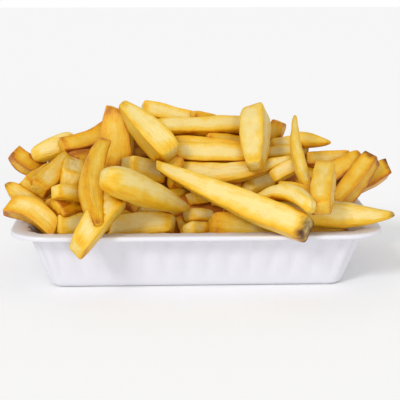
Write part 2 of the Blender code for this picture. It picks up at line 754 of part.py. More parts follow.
def loft(rings):
    """Return a bmesh that runs through rings of equally many points, with its first ring capped."""
    builder = bmesh.new()
    bmesh.ops.create_circle(builder, cap_ends=True, radius=1.0, segments=len(rings[0]))
    builder.verts.ensure_lookup_table()
    ring = list(builder.verts)
    for vertex, place in zip(ring, rings[0]):
        vertex.co = np.asarray(place) * METRES
    edges = list(builder.edges)
    for places in rings[1:]:
        grown = bmesh.ops.extrude_edge_only(builder, edges=edges)["geom"]
        edges = [part for part in grown if isinstance(part, bmesh.types.BMEdge)]
        above = [part for part in grown if isinstance(part, bmesh.types.BMVert)]
        ring = [next(v for v in above if builder.edges.get((v, below))) for below in ring]
        for vertex, place in zip(ring, places):
            vertex.co = np.asarray(place) * METRES
    return builder, edges


def side_points(start, end, bow, flutes, per_flute):
    """Return points along a side with its outward bow, and the depth of the flute at each."""
    start, end = np.array(start), np.array(end)
    outward = unit(np.array((end[1] - start[1], start[0] - end[0])))
    points = []
    for i in range(flutes * per_flute):
        share = i / (flutes * per_flute)
        place = start + (end - start) * share + outward * bow * 4 * share * (1 - share)
        points.append((place, outward, 1 - abs(math.sin(math.pi * i / per_flute))))
    return points


def corner_points(middle, radius, turn, flutes, per_flute):
    """Return points round a corner that starts at that turn, and the flute depth at each."""
    points = []
    for i in range(flutes * per_flute):
        angle = turn + math.pi / 2 * i / (flutes * per_flute)
        outward = np.array((math.cos(angle), math.sin(angle)))
        place = np.array(middle) + outward * radius
        points.append((place, outward, 1 - abs(math.sin(math.pi * i / per_flute))))
    return points


def tray_ring(z, grow=0.0, flute=0.0, height=None):
    """Return the tray's outline at z, grown outward and fluted as told, at z or another height."""
    half_length, half_width, radius = wall_sizes(z)
    half_length, half_width, radius = half_length + grow, half_width + grow, radius + grow
    x, y = half_length - radius, half_width - radius
    points = []
    for side in range(4):
        turn = -math.pi / 2 + side * math.pi / 2
        corner = ((x, -y), (x, y), (-x, y), (-x, -y))[side]
        outward = np.array((math.cos(turn), math.sin(turn)))
        last = ((-x, -y), (x, -y), (x, y), (-x, y))[side]
        long_side = side % 2 == 0
        flutes = FLUTES_ON_LONG_SIDE if long_side else FLUTES_ON_SHORT_SIDE
        bow = SIDE_BOW * z / WALL_TOP if long_side else 0.0
        points += side_points(np.array(last) + outward * radius, np.array(corner) + outward * radius,
                              bow, flutes, POINTS_PER_FLUTE)
        points += corner_points(corner, radius, turn, FLUTES_ON_CORNER, POINTS_PER_FLUTE)
    level = z if height is None else height
    return [(*(place - outward * depth * flute), level) for place, outward, depth in points]


def build_tray(collection):
    """Add the tray: a thin fluted wall and floor, with a flange and a lip turned down."""
    lip = FLANGE - WALL
    lip_end = TRAY_HEIGHT - LIP_DROP
    rings = (
        tray_ring(0.0, grow=-BASE_EDGE),
        tray_ring(BASE_EDGE),
        tray_ring(FLUTE_START, flute=FLUTE_DEPTH * 0.7),
        tray_ring(WALL_TOP, flute=FLUTE_DEPTH),
        tray_ring(WALL_TOP, grow=lip),
        tray_ring(WALL_TOP, grow=lip, height=lip_end),
        tray_ring(WALL_TOP, grow=FLANGE, height=lip_end),
        tray_ring(WALL_TOP, grow=FLANGE, height=TRAY_HEIGHT - LIP_ROUNDING),
        tray_ring(WALL_TOP, grow=FLANGE - LIP_ROUNDING, height=TRAY_HEIGHT),
        tray_ring(WALL_TOP, grow=-WALL, flute=FLUTE_DEPTH, height=TRAY_HEIGHT),
        tray_ring(FLUTE_START, grow=-WALL, flute=FLUTE_DEPTH * 0.7),
        tray_ring(BASE_EDGE, grow=-WALL, height=BASE_EDGE + WALL / 2),
        tray_ring(0.0, grow=-WALL - BASE_EDGE, height=WALL),
    )
    builder, edges = loft(rings)
    bmesh.ops.contextual_create(builder, geom=edges)
    bmesh.ops.recalc_face_normals(builder, faces=builder.faces)
    white = finish("tray_plastic", (0.83, 0.82, 0.85), 0.35)
    tray = add_object("tray", builder, collection, white)
    tray.data.shade_smooth()
    tray.data.set_sharp_from_angle(angle=math.radians(35))


def core_ring(z, inset):
    """Return a plain ring that many millimetres inside the tray's outside."""
    half_length, half_width, _ = wall_sizes(z)
    points = []
    for i in range(CORE_POINTS):
        angle = 2 * math.pi * i / CORE_POINTS
        across, out = math.cos(angle), math.sin(angle)
        x = math.copysign(abs(across) ** CORE_SQUARENESS, across) * (half_length - inset)
        y = math.copysign(abs(out) ** CORE_SQUARENESS, out) * (half_width - inset)
        points.append((x, y, z))
    return points


def build_core(collection):
    """Add the heap's core: it fills the tray and rises under the fries."""
    edge = core_ring(CORE_SHOULDER, CORE_INSET)
    rings = [core_ring(CORE_FLOOR, CORE_INSET), edge]
    for share in CORE_SHARES:
        ring = []
        for x, y, _ in edge:
            x, y = x * share, y * share + CREST_Y * (1 - share)
            ring.append((x, y, max(float(core_height(x, y)), CORE_SHOULDER + 1.0)))
        rings.append(ring)
    builder, edges = loft(rings)
    bmesh.ops.contextual_create(builder, geom=edges)
    bmesh.ops.recalc_face_normals(builder, faces=builder.faces)
    return add_object("core", builder, collection)


def fry_shape(rings):
    """Return a bmesh of a bar one unit long with bevelled edges and a ring at each share."""
    builder = bmesh.new()
    bmesh.ops.create_cube(builder, size=1.0)
    long_edges = [edge for edge in builder.edges if abs(edge.verts[0].co.x - edge.verts[1].co.x) > 0.5]
    bmesh.ops.bevel(builder, geom=long_edges, offset=EDGE_BEVEL, segments=1, affect="EDGES")
    for share in rings[1:-1]:
        everything = list(builder.verts) + list(builder.edges) + list(builder.faces)
        bmesh.ops.bisect_plane(builder, geom=everything, plane_co=(share - 0.5, 0, 0), plane_no=(1, 0, 0))
    return builder


def add_fry(fry, number, shapes, collection):
    """Add one fry's solid."""
    bent = np.linalg.norm(fry.bend) > BEND_THAT_SHOWS or max(1 / np.array(fry.blunt)) > 0.25
    builder = shapes[PLAIN_RINGS if fry.plain else BENT_RINGS if bent else STRAIGHT_RINGS].copy()
    places = np.array([vertex.co[:] for vertex in builder.verts])
    points = fry.surface(places[:, 0] + 0.5, places[:, 1], places[:, 2]) * METRES
    for vertex, point in zip(builder.verts, points):
        vertex.co = point
    if builder.calc_volume(signed=True) < 0:
        bmesh.ops.reverse_faces(builder, faces=builder.faces)
    return add_object(f"fry_{number}", builder, collection)


def fuse(core, pieces):
    """Join the pieces to the core with one union, apply it and remove the pieces."""
    union = core.modifiers.new("fuse", "BOOLEAN")
    union.operation = "UNION"
    union.operand_type = "COLLECTION"
    union.collection = pieces
    union.solver = "MANIFOLD"
    graph = bpy.context.evaluated_depsgraph_get()
    joined = bpy.data.meshes.new_from_object(core.evaluated_get(graph))
    core.modifiers.clear()
    core.data = joined
    for piece in list(pieces.objects):
        bpy.data.objects.remove(piece)
    bpy.data.collections.remove(pieces)


def keep_outer_shell(thing):
    """Drop sealed hollows and loose scraps, which leaves the largest closed surface."""
    builder = bmesh.new()
    builder.from_mesh(thing.data)
    bmesh.ops.triangulate(builder, faces=builder.faces)
    unseen = set(builder.verts)
    shells = []
    while unseen:
        shell, edge_of_search = set(), [unseen.pop()]
        while edge_of_search:
            vertex = edge_of_search.pop()
            shell.add(vertex)
            for edge in vertex.link_edges:
                other = edge.other_vert(vertex)
                if other in unseen:
                    unseen.remove(other)
                    edge_of_search.append(other)
        shells.append(shell)
    largest = max(shells, key=len)
    loose = [vertex for vertex in builder.verts if vertex not in largest]
    bmesh.ops.delete(builder, geom=loose, context="VERTS")
    builder.to_mesh(thing.data)
    builder.free()


def build_fries(collection):
    """Add the heap of fries as one solid."""
    pieces = bpy.data.collections.new("pieces")
    bpy.context.scene.collection.children.link(pieces)
    shapes = {rings: fry_shape(rings) for rings in (PLAIN_RINGS, STRAIGHT_RINGS, BENT_RINGS)}
    for number, fry in enumerate(heap_of_fries()):
        add_fry(fry, number, shapes, pieces)
    heap = build_core(collection)
    heap.name = "fries"
    heap.data.materials.append(finish("fried_potato", (0.80, 0.52, 0.13), 0.45))
    fuse(heap, pieces)
    keep_outer_shell(heap)


def main():
    """Clear the scene and model the portion."""
    for thing in list(bpy.data.objects):
        bpy.data.objects.remove(thing)
    collection = bpy.data.collections.new("french_fries_portion")
    bpy.context.scene.collection.children.link(collection)
    build_tray(collection)
    build_fries(collection)


if __name__ == "__main__":
    main()
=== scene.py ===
"""The looks of a portion of french fries: a heap of single fries in a white ribbed plastic tray.

The tray stands on Z = 0 with its middle over the origin, its long side along X and its front at
-Y. Sizes held as fields and constants are in millimetres, and meshes are made in metres. The
front of the heap is laid out fry by fry as it is seen from one point, and the rest of the heap is
laid by rule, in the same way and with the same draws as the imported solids. Then some fries of the
front settle by a few millimetres, which they don't do in the solids.
"""

import logging
import math
import random
from collections.abc import Iterable, Sequence
from dataclasses import dataclass, field
from enum import Enum

import bmesh
import bpy
import numpy as np
from mathutils import Matrix, Vector
from mathutils.bvhtree import BVHTree


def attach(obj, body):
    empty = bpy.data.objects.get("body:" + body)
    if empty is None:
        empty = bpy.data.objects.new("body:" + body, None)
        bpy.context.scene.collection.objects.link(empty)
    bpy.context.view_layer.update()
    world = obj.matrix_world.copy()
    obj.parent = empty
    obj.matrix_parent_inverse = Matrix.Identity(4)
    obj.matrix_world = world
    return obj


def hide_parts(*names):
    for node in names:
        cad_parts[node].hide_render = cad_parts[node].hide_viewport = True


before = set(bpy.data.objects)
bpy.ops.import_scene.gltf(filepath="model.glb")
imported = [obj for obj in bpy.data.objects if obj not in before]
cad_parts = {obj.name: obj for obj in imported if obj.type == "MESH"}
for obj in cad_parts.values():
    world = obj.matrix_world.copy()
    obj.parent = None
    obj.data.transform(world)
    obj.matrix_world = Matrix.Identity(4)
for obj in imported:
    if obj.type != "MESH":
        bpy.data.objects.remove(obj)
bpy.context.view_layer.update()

log = logging.getLogger("french_fries")

METRES = 0.001
# Keeps a length that something is divided by off zero
TINY = 1e-9
# How many stations along a fry, and how many points on each of its faces, stand for its surface
FINE_SAMPLES = (60, 13)
HIDING_SAMPLES = (24, 5)
CLEARING_SAMPLES = (26, 5)
OVERLAP_SAMPLES = (14, 5)
BODY = "root"


class Cut(Enum):
    """How a fry was cut, which sets how sharp its edges are."""

    SQUARE = "square"
    SOFT = "soft"
    ROUND = "round"
    SLIM = "slim"


class Tone(Enum):
    """How far a fry is fried, as its share of gold and its share of brown; the deepest tone is
    painted shade.
    """

    PALE = (0.0, 0.0)
    YELLOW = (0.42, 0.02)
    TAN = (0.30, 0.16)
    GOLD = (0.62, 0.14)
    # The deepest tone is painted shade: fries seen deep in the gaps get the darkest orange
    DEEP_SHADE = (0.95, 0.34)


@dataclass(frozen=True)
class Seen:
    """A fry of the front, given by its two ends in the picture and its sizes in millimetres.

    roll turns it about its length, bow bends it across the view and arch towards the viewer.
    narrow is the width left at each end, and blunt is how suddenly the ends narrow. depth is
    the Y of both ends, where the fry doesn't simply lie on the fries behind it. burnt is how
    brown each tip is.
    """

    name: str
    start: tuple[float, float]
    end: tuple[float, float]
    across: float
    cut: Cut
    tone: Tone
    roll: float = 12.0
    bow: float = 0.0
    arch: float = 0.0
    narrow: tuple[float, float] = (0.86, 0.86)
    blunt: tuple[float, float] = (7.0, 7.0)
    depth: tuple[float, ...] = ()
    burnt: tuple[float, float] = (0.0, 0.0)


# From the back of the heap to its front
SEEN_FRIES = (
    Seen("leaf tip at right", (292, 139), (331, 143), 7.6, Cut.ROUND, Tone.YELLOW,
         narrow=(0.8, 0.2), blunt=(5, 2.2)),
    Seen("stub behind the upright", (279, 121), (272, 143), 7.0, Cut.SQUARE, Tone.TAN,
         narrow=(0.8, 0.7)),
    Seen("crest fry", (142, 109), (198, 122), 8.4, Cut.SQUARE, Tone.PALE, roll=20),
    Seen("tip on the crest", (192, 115), (222, 123), 5.8, Cut.SLIM, Tone.TAN, narrow=(0.7, 0.8)),
    Seen("long crest fry", (155, 129), (250, 126), 9.4, Cut.SOFT, Tone.PALE, roll=32),
    Seen("pale piece right of the upright", (270, 147), (293, 142), 6.8, Cut.SOFT, Tone.PALE),
    Seen("thin piece above the bowed fry", (266, 153), (294, 150), 5.6, Cut.SLIM, Tone.PALE),
    Seen("fry behind the broad one", (306, 160), (350, 158), 7.2, Cut.SQUARE, Tone.TAN),
    Seen("turned up end at left", (13, 152), (43, 169), 8.8, Cut.SQUARE, Tone.GOLD, roll=28,
         bow=-2.0, burnt=(0.3, 0.0)),
    Seen("pale fry at left", (32, 157), (76, 140), 10.2, Cut.ROUND, Tone.PALE, narrow=(0.6, 0.86),
         blunt=(4, 7)),
    Seen("sagging fry at left", (61, 147), (112, 126), 9.8, Cut.SOFT, Tone.GOLD, roll=26, bow=-3.2),
    Seen("deep piece under the sagging fry", (68, 163), (92, 159), 9.4, Cut.SQUARE, Tone.DEEP_SHADE),
    Seen("deep piece between the diagonals", (128, 152), (152, 150), 8.4, Cut.SOFT, Tone.DEEP_SHADE),
    Seen("strip under the crest", (206, 142), (246, 145), 7.2, Cut.SOFT, Tone.YELLOW),
    Seen("second fry under the crest", (172, 143), (246, 150), 7.6, Cut.SOFT, Tone.YELLOW, roll=15),
    Seen("third fry under the crest", (173, 153), (250, 157), 9.4, Cut.SQUARE, Tone.PALE, roll=22),
    Seen("bowed fry", (172, 171), (303, 155), 10.2, Cut.SOFT, Tone.PALE, bow=-4.6,
         narrow=(0.8, 0.22), blunt=(6, 1.7)),
    Seen("wedge at the top", (113, 106), (118, 168), 14.2, Cut.SQUARE, Tone.YELLOW, roll=-10,
         narrow=(0.5, 0.98), blunt=(1.5, 9)),
    Seen("pointed fry over the left rim", (6, 184), (58, 226), 8.4, Cut.SOFT, Tone.TAN,
         narrow=(0.2, 0.8), blunt=(8, 6), depth=(-12, -24), burnt=(0.4, 0.0)),
    Seen("end behind the cut end", (26, 186), (50, 170), 7.0, Cut.SQUARE, Tone.TAN, depth=(-18, 0)),
    Seen("deep piece at left", (46, 208), (64, 205), 7.6, Cut.SOFT, Tone.TAN),
    Seen("gold fry at left", (55, 211), (88, 204), 12.6, Cut.SOFT, Tone.GOLD, roll=25),
    Seen("pale fry over the gold one", (54, 192), (86, 196), 7.0, Cut.SOFT, Tone.PALE),
    Seen("cut end facing front", (70, 181), (73, 163), 9.6, Cut.SQUARE, Tone.PALE, roll=8,
         depth=(-25, 8)),
    Seen("cut end at left", (38, 190), (68, 162), 9.4, Cut.SQUARE, Tone.TAN, depth=(-28, -2)),
    Seen("pale fry under the wedge", (126, 165), (162, 175), 10.4, Cut.SOFT, Tone.PALE, roll=14),
    Seen("deep piece under the diagonal", (162, 163), (182, 169), 9.4, Cut.SQUARE, Tone.YELLOW),
    Seen("great diagonal", (121, 104), (171, 156), 15.4, Cut.SOFT, Tone.PALE, roll=26,
         narrow=(0.5, 0.72), blunt=(3.4, 5), burnt=(0.35, 0.0)),
    Seen("upright fry", (256, 110), (254, 167), 14.0, Cut.SOFT, Tone.PALE, roll=-20,
         narrow=(0.86, 0.5), blunt=(8, 2.6)),
    Seen("piece under the bowed fry", (272, 178), (299, 163), 6.8, Cut.SOFT, Tone.PALE),
    Seen("small deep piece at right", (292, 185), (308, 186), 5.6, Cut.SOFT, Tone.DEEP_SHADE),
    Seen("horn", (295, 116), (308, 188), 7.6, Cut.ROUND, Tone.YELLOW, bow=-2.4, narrow=(0.22, 0.5),
         blunt=(1.6, 3)),
    Seen("deep piece under the crossing", (224, 188), (247, 190), 6.8, Cut.SOFT, Tone.DEEP_SHADE),
    Seen("short pale fry", (245, 190), (271, 180), 8.0, Cut.ROUND, Tone.PALE, roll=22),
    Seen("yellow fry behind the arch", (280, 190), (314, 194), 7.4, Cut.SOFT, Tone.YELLOW),
    Seen("broad fry at right", (322, 180), (363, 157), 10.8, Cut.SOFT, Tone.GOLD, roll=15,
         narrow=(0.86, 0.6), blunt=(6, 4)),
    Seen("burnt end at right", (387, 168), (350, 188), 9.0, Cut.SQUARE, Tone.GOLD, roll=10,
         burnt=(0.6, 0.0)),
    Seen("two toned fry at right", (336, 207), (373, 157), 9.4, Cut.SQUARE, Tone.GOLD, roll=30,
         burnt=(0.0, 0.5)),
    Seen("standing fry at right", (326, 166), (320, 209), 9.8, Cut.SOFT, Tone.TAN, roll=-12),
    Seen("arched fry", (257, 204), (313, 208), 6.9, Cut.ROUND, Tone.PALE, bow=6.4),
    Seen("deep orange end", (128, 210), (148, 208), 10.4, Cut.SOFT, Tone.DEEP_SHADE),
    Seen("small pale corner", (112, 216), (132, 218), 6.4, Cut.SQUARE, Tone.PALE),
    Seen("pale fry over the wall", (140, 213), (180, 210), 6.8, Cut.ROUND, Tone.PALE),
    Seen("narrow end in front", (171, 224), (181, 243), 5.4, Cut.SLIM, Tone.TAN),
    Seen("tan end in front", (180, 219), (190, 243), 6.2, Cut.SOFT, Tone.TAN),
    Seen("upper stub in front", (186, 216), (212, 217), 7.2, Cut.ROUND, Tone.PALE),
    Seen("lower stub in front", (186, 230), (213, 231), 7.6, Cut.ROUND, Tone.PALE),
    Seen("yellow fry in front", (210, 227), (274, 237), 13.0, Cut.SQUARE, Tone.YELLOW, roll=18),
    Seen("strip behind the right rim", (308, 232), (350, 232), 6.6, Cut.SOFT, Tone.DEEP_SHADE),
    Seen("pale fry in front", (103, 232), (174, 223), 12.6, Cut.SOFT, Tone.PALE, roll=16,
         narrow=(0.86, 0.7), blunt=(7, 4)),
    Seen("pale fry along the wall", (54, 229), (104, 227), 10.4, Cut.SOFT, Tone.PALE),
    Seen("strip at the left rim", (22, 201), (56, 238), 4.8, Cut.SLIM, Tone.GOLD, narrow=(0.3, 0.9),
         depth=(-14, -34)),
    Seen("square end over the left rim", (8, 209), (57, 235), 9.8, Cut.SQUARE, Tone.TAN, bow=3.0,
         depth=(-32, -40)),
    Seen("fry over the front rim", (119, 192), (76, 253), 12.2, Cut.SOFT, Tone.PALE, roll=10,
         arch=4.0, depth=(-36, -69)),
    Seen("big pale fry", (104, 176), (186, 209), 13.6, Cut.ROUND, Tone.PALE, roll=18,
         narrow=(0.6, 0.3), blunt=(9, 2.4)),
    Seen("tall bowed fry", (105, 141), (98, 224), 11.0, Cut.SOFT, Tone.GOLD, bow=-4.8,
         narrow=(0.5, 0.16), blunt=(3.4, 2.0), depth=(-18, -61)),
    Seen("long fry over the right rim", (272, 203), (396, 219), 12.2, Cut.ROUND, Tone.PALE, roll=6,
         narrow=(0.5, 0.1), blunt=(1.8, 2.2), depth=(-41, -49), burnt=(0.0, 0.5)),
    Seen("long crossing fry", (156, 166), (308, 231), 12.8, Cut.SOFT, Tone.PALE, roll=8, bow=-0.8,
         narrow=(0.5, 0.74), blunt=(1.8, 5), depth=(-22, -66), burnt=(0.0, 0.55)),
)


@dataclass(frozen=True)
class Settling:
    """How a fry settles once the whole heap is laid, in millimetres.

    start and end move its ends, and sag lowers its middle. swell makes it thicker. narrow and
    blunt take the place of those that it was laid with.
    """

    start: tuple[float, float, float] = (0.0, 0.0, 0.0)
    end: tuple[float, float, float] = (0.0, 0.0, 0.0)
    sag: float = 0.0
    swell: float = 1.0
    narrow: tuple[float, float] | None = None
    blunt: tuple[float, float] | None = None


# By the name of the fry
SETTLED = {
    "wedge at the top": Settling(start=(1.8, 0.0, -1.0), narrow=(0.6, 0.98), blunt=(4, 9)),
    "great diagonal": Settling(narrow=(0.3, 0.72), blunt=(2.0, 5)),
    "upright fry": Settling(narrow=(0.66, 0.5)),
    "bowed fry": Settling(swell=1.12),
    "fry over the front rim": Settling(narrow=(0.86, 0.62), blunt=(7, 3)),
    "tall bowed fry": Settling(end=(0.0, -5.0, 0.0), narrow=(0.5, 0.36), blunt=(3.4, 3.5)),
    "long fry over the right rim": Settling(start=(0.0, 0.0, -1.0), sag=4.0, swell=1.14,
                                            narrow=(0.8, 0.2), blunt=(3, 2.2)),
    "long crossing fry": Settling(narrow=(0.3, 0.86), blunt=(2.0, 3.8)),
    "strip under the crest": Settling(start=(0.0, 0.0, 0.8), end=(0.0, 0.0, 0.8)),
}


def unit(vector: np.ndarray) -> np.ndarray:
    """Return the vector at length one."""
    return vector / np.linalg.norm(vector)


def fullness(along: np.ndarray, narrow: tuple, blunt: tuple) -> np.ndarray:
    """Work out how a fry narrows to its ends.

    Args:
        along: Shares of the fry's length.
        narrow: The share of its full section left at the first and the last end.
        blunt: How suddenly it narrows towards each end.

    Returns:
        The share of the full section that is left at each place.
    """
    along = np.clip(along, 0, 1)
    first = 1 - (1 - narrow[0]) * (1 - along) ** blunt[0]
    last = 1 - (1 - narrow[1]) * along ** blunt[1]
    return first * last


@dataclass
class Fry:
    """A fry in space: its two ends, the directions across it, and how it bends and narrows.

    bend is how far its middle stands off the straight line between the ends.
    """

    ends: tuple[np.ndarray, np.ndarray]
    side: np.ndarray
    front: np.ndarray
    width: float
    height: float
    bend: np.ndarray
    narrow: tuple[float, float]
    blunt: tuple[float, float]
    cut: Cut = Cut.SOFT
    tone: Tone = Tone.PALE
    burnt: tuple[float, float] = (0.0, 0.0)

    def length(self) -> float:
        """Return the distance between the ends."""
        return float(np.linalg.norm(self.ends[1] - self.ends[0]))

    def middle_line(self, along: np.ndarray) -> np.ndarray:
        """Return the point of the fry's middle line at each share of its length."""
        along = np.asarray(along, float)[:, None]
        straight = self.ends[0] + (self.ends[1] - self.ends[0]) * along
        return straight + self.bend * 4 * along * (1 - along)

    def surface(self, along: np.ndarray, across: np.ndarray, out: np.ndarray) -> np.ndarray:
        """Find points of the fry from shares of its length, width and thickness.

        Args:
            along: Shares of the length, from 0 to 1.
            across: Shares of the width, from -0.5 to 0.5.
            out: Shares of the thickness, from -0.5 to 0.5.

        Returns:
            The points, in millimetres.
        """
        full = fullness(np.asarray(along, float), self.narrow, self.blunt)[:, None]
        sideways = self.side * self.width * np.asarray(across)[:, None]
        outwards = self.front * self.height * np.asarray(out)[:, None]
        return self.middle_line(along) + full * (sideways + outwards)

    def depth_inside(self, points: np.ndarray) -> np.ndarray:
        """Return how deep points lie in the fry, below zero where they lie outside."""
        axis = self.ends[1] - self.ends[0]
        length = np.linalg.norm(axis)
        along = (points - self.ends[0]) @ axis / length ** 2
        within = np.clip(along, 0, 1)
        offset = points - self.middle_line(within)
        full = fullness(within, self.narrow, self.blunt)
        width, height = self.width * full, self.height * full
        across, out = np.abs(offset @ self.side), np.abs(offset @ self.front)
        corner = (1 - FryKind.EDGE_OF_SOLID - across / width - out / height) * width / math.sqrt(2)
        sides = np.minimum(width / 2 - across, height / 2 - out)
        ends = np.minimum(along, 1 - along) * length
        return np.min((sides, corner, ends), axis=0)

    def move(self, step: np.ndarray) -> None:
        """Shift the whole fry."""
        self.ends = (self.ends[0] + step, self.ends[1] + step)


def surface_samples(stations: int, points_round: int) -> tuple[np.ndarray, np.ndarray, np.ndarray]:
    """Return shares along, across and out of points spread over a fry's surface."""
    step = np.linspace(-0.5, 0.5, points_round)
    edge = np.full(points_round, 0.5)
    across = np.concatenate((step, step, edge, -edge))
    out = np.concatenate((edge, -edge, step, step))
    along = np.repeat(np.linspace(0, 1, stations), len(across))
    return along, np.tile(across, stations), np.tile(out, stations)


@dataclass(frozen=True)
class Eye:
    """The point that the front of the heap is laid out from, and its direction of view."""

    place: tuple[float, float, float] = (-20.9, -620.1, 165.5)
    heading: float = 2.2
    pitch: float = 11.73
    focal_length: float = 1201.0
    picture_size: int = 400
    forward: np.ndarray = field(init=False)
    right: np.ndarray = field(init=False)
    upward: np.ndarray = field(init=False)

    def __post_init__(self) -> None:
        """Work out the directions forward, right and up of the view."""
        heading, pitch = math.radians(self.heading), math.radians(self.pitch)
        level = math.cos(pitch)
        forward = np.array((math.sin(heading) * level, math.cos(heading) * level, -math.sin(pitch)))
        right = np.array((math.cos(heading), -math.sin(heading), 0.0))
        object.__setattr__(self, "forward", forward)
        object.__setattr__(self, "right", right)
        object.__setattr__(self, "upward", np.cross(right, forward))

    def ray(self, u: np.ndarray, v: np.ndarray) -> np.ndarray:
        """Return the direction through a place of the picture, one unit deep."""
        middle = self.picture_size / 2
        across = (np.asarray(u, float)[..., None] - middle) / self.focal_length
        down = (np.asarray(v, float)[..., None] - middle) / self.focal_length
        return self.forward + self.right * across - self.upward * down

    def seen_at(self, points: np.ndarray) -> tuple[np.ndarray, np.ndarray, np.ndarray]:
        """Return the place in the picture and the depth of each point."""
        offset = points - np.array(self.place)
        depth = offset @ self.forward
        u = self.picture_size / 2 + self.focal_length * (offset @ self.right) / depth
        v = self.picture_size / 2 - self.focal_length * (offset @ self.upward) / depth
        return u, v, depth

    def pixels(self, points: np.ndarray) -> tuple[np.ndarray, np.ndarray, np.ndarray]:
        """Return the whole pixel, kept inside the picture, and the depth of each point."""
        u, v, depth = self.seen_at(points)
        column, row = (np.clip(np.round(place).astype(int), 0, self.picture_size - 1)
                       for place in (u, v))
        return column, row, depth

    def depth_at_y(self, u: np.ndarray, v: np.ndarray, y: float) -> np.ndarray:
        """Return how deep the picture's place lies where it meets the plane of that Y."""
        return (y - self.place[1]) / self.ray(u, v)[..., 1]


@dataclass(frozen=True)
class HeapForm:
    """The outer form of the heap over the rim, and how the fries of its front lie on it.

    The form falls off from its crest by a power of the way to the front or the back, up to the
    furthest share of that way. covers is how deep fries lie under it at the cover_places along Y.
    """

    rim_height: float = 30.4
    crest_places: tuple[float, ...] = (-98, -88, -72, -55, -42, -25, 0, 45, 58, 80, 99)
    crest_heights: tuple[float, ...] = (18, 27, 35, 40, 50, 50, 48, 46, 40, 30, 20)
    crest_y: float = 4.0
    back_crest_y: float = 15.0
    half_width: float = 53.0
    front_power: float = 1.15
    back_power: float = 1.5
    furthest: float = 1.3
    cover_places: tuple[float, ...] = (-30.0, 11.0, 22.0)
    covers: tuple[float, ...] = (33.0, 37.0, 16.0)
    layer_depth: float = 36.0
    back_layer_y: float = 22.0
    search_rounds: int = 3

    def crest_over_rim(self, x: np.ndarray) -> np.ndarray:
        """Return how far the heap's crest stands over the rim."""
        return np.interp(x, self.crest_places, self.crest_heights)

    def height(self, x: np.ndarray, y: np.ndarray) -> np.ndarray:
        """Return the height of the heap's outer form."""
        front = (self.crest_y - y) / (self.crest_y + self.half_width)
        back = (y - self.back_crest_y) / (self.half_width - self.back_crest_y)
        front = np.clip(front, 0, self.furthest) ** self.front_power
        back = np.clip(back, 0, self.furthest) ** self.back_power
        return self.rim_height + self.crest_over_rim(x) * (1 - front - back)

    def cover(self, y: float) -> float:
        """Return how deep fries lie under the heap's form."""
        return float(np.interp(y, self.cover_places, self.covers))

    def support_depths(self, eye: Eye) -> np.ndarray:
        """Work out how deep the fries of the first layer may lie.

        Args:
            eye: The point that the front is laid out from.

        Returns:
            The depth for each place of the picture.
        """
        v, u = np.mgrid[0:eye.picture_size, 0:eye.picture_size].astype(float)
        way = eye.ray(u, v)
        run = self.crest_y + self.half_width
        at_crest = eye.depth_at_y(u, v, self.crest_y)
        depth = at_crest
        for _ in range(self.search_rounds):
            rise = self.crest_over_rim(eye.place[0] + way[..., 0] * depth) / run
            gap = self.rim_height + rise * (eye.place[1] + self.half_width) - eye.place[2]
            depth = gap / (way[..., 2] - rise * way[..., 1])
            depth = np.where(depth > 0, depth, np.inf)
            depth = np.minimum(depth, at_crest)
        return np.minimum(depth + self.layer_depth, eye.depth_at_y(u, v, self.back_layer_y))


# A direction in the picture counts as level where its part downward is less than this
NEARLY_LEVEL = 0.25


def picks_other_side(direction: Sequence[float]) -> bool:
    """Tell whether a direction in the picture points down, or left where it is level."""
    if abs(direction[1]) < NEARLY_LEVEL:
        return bool(direction[0] < 0)
    return bool(direction[1] > 0)


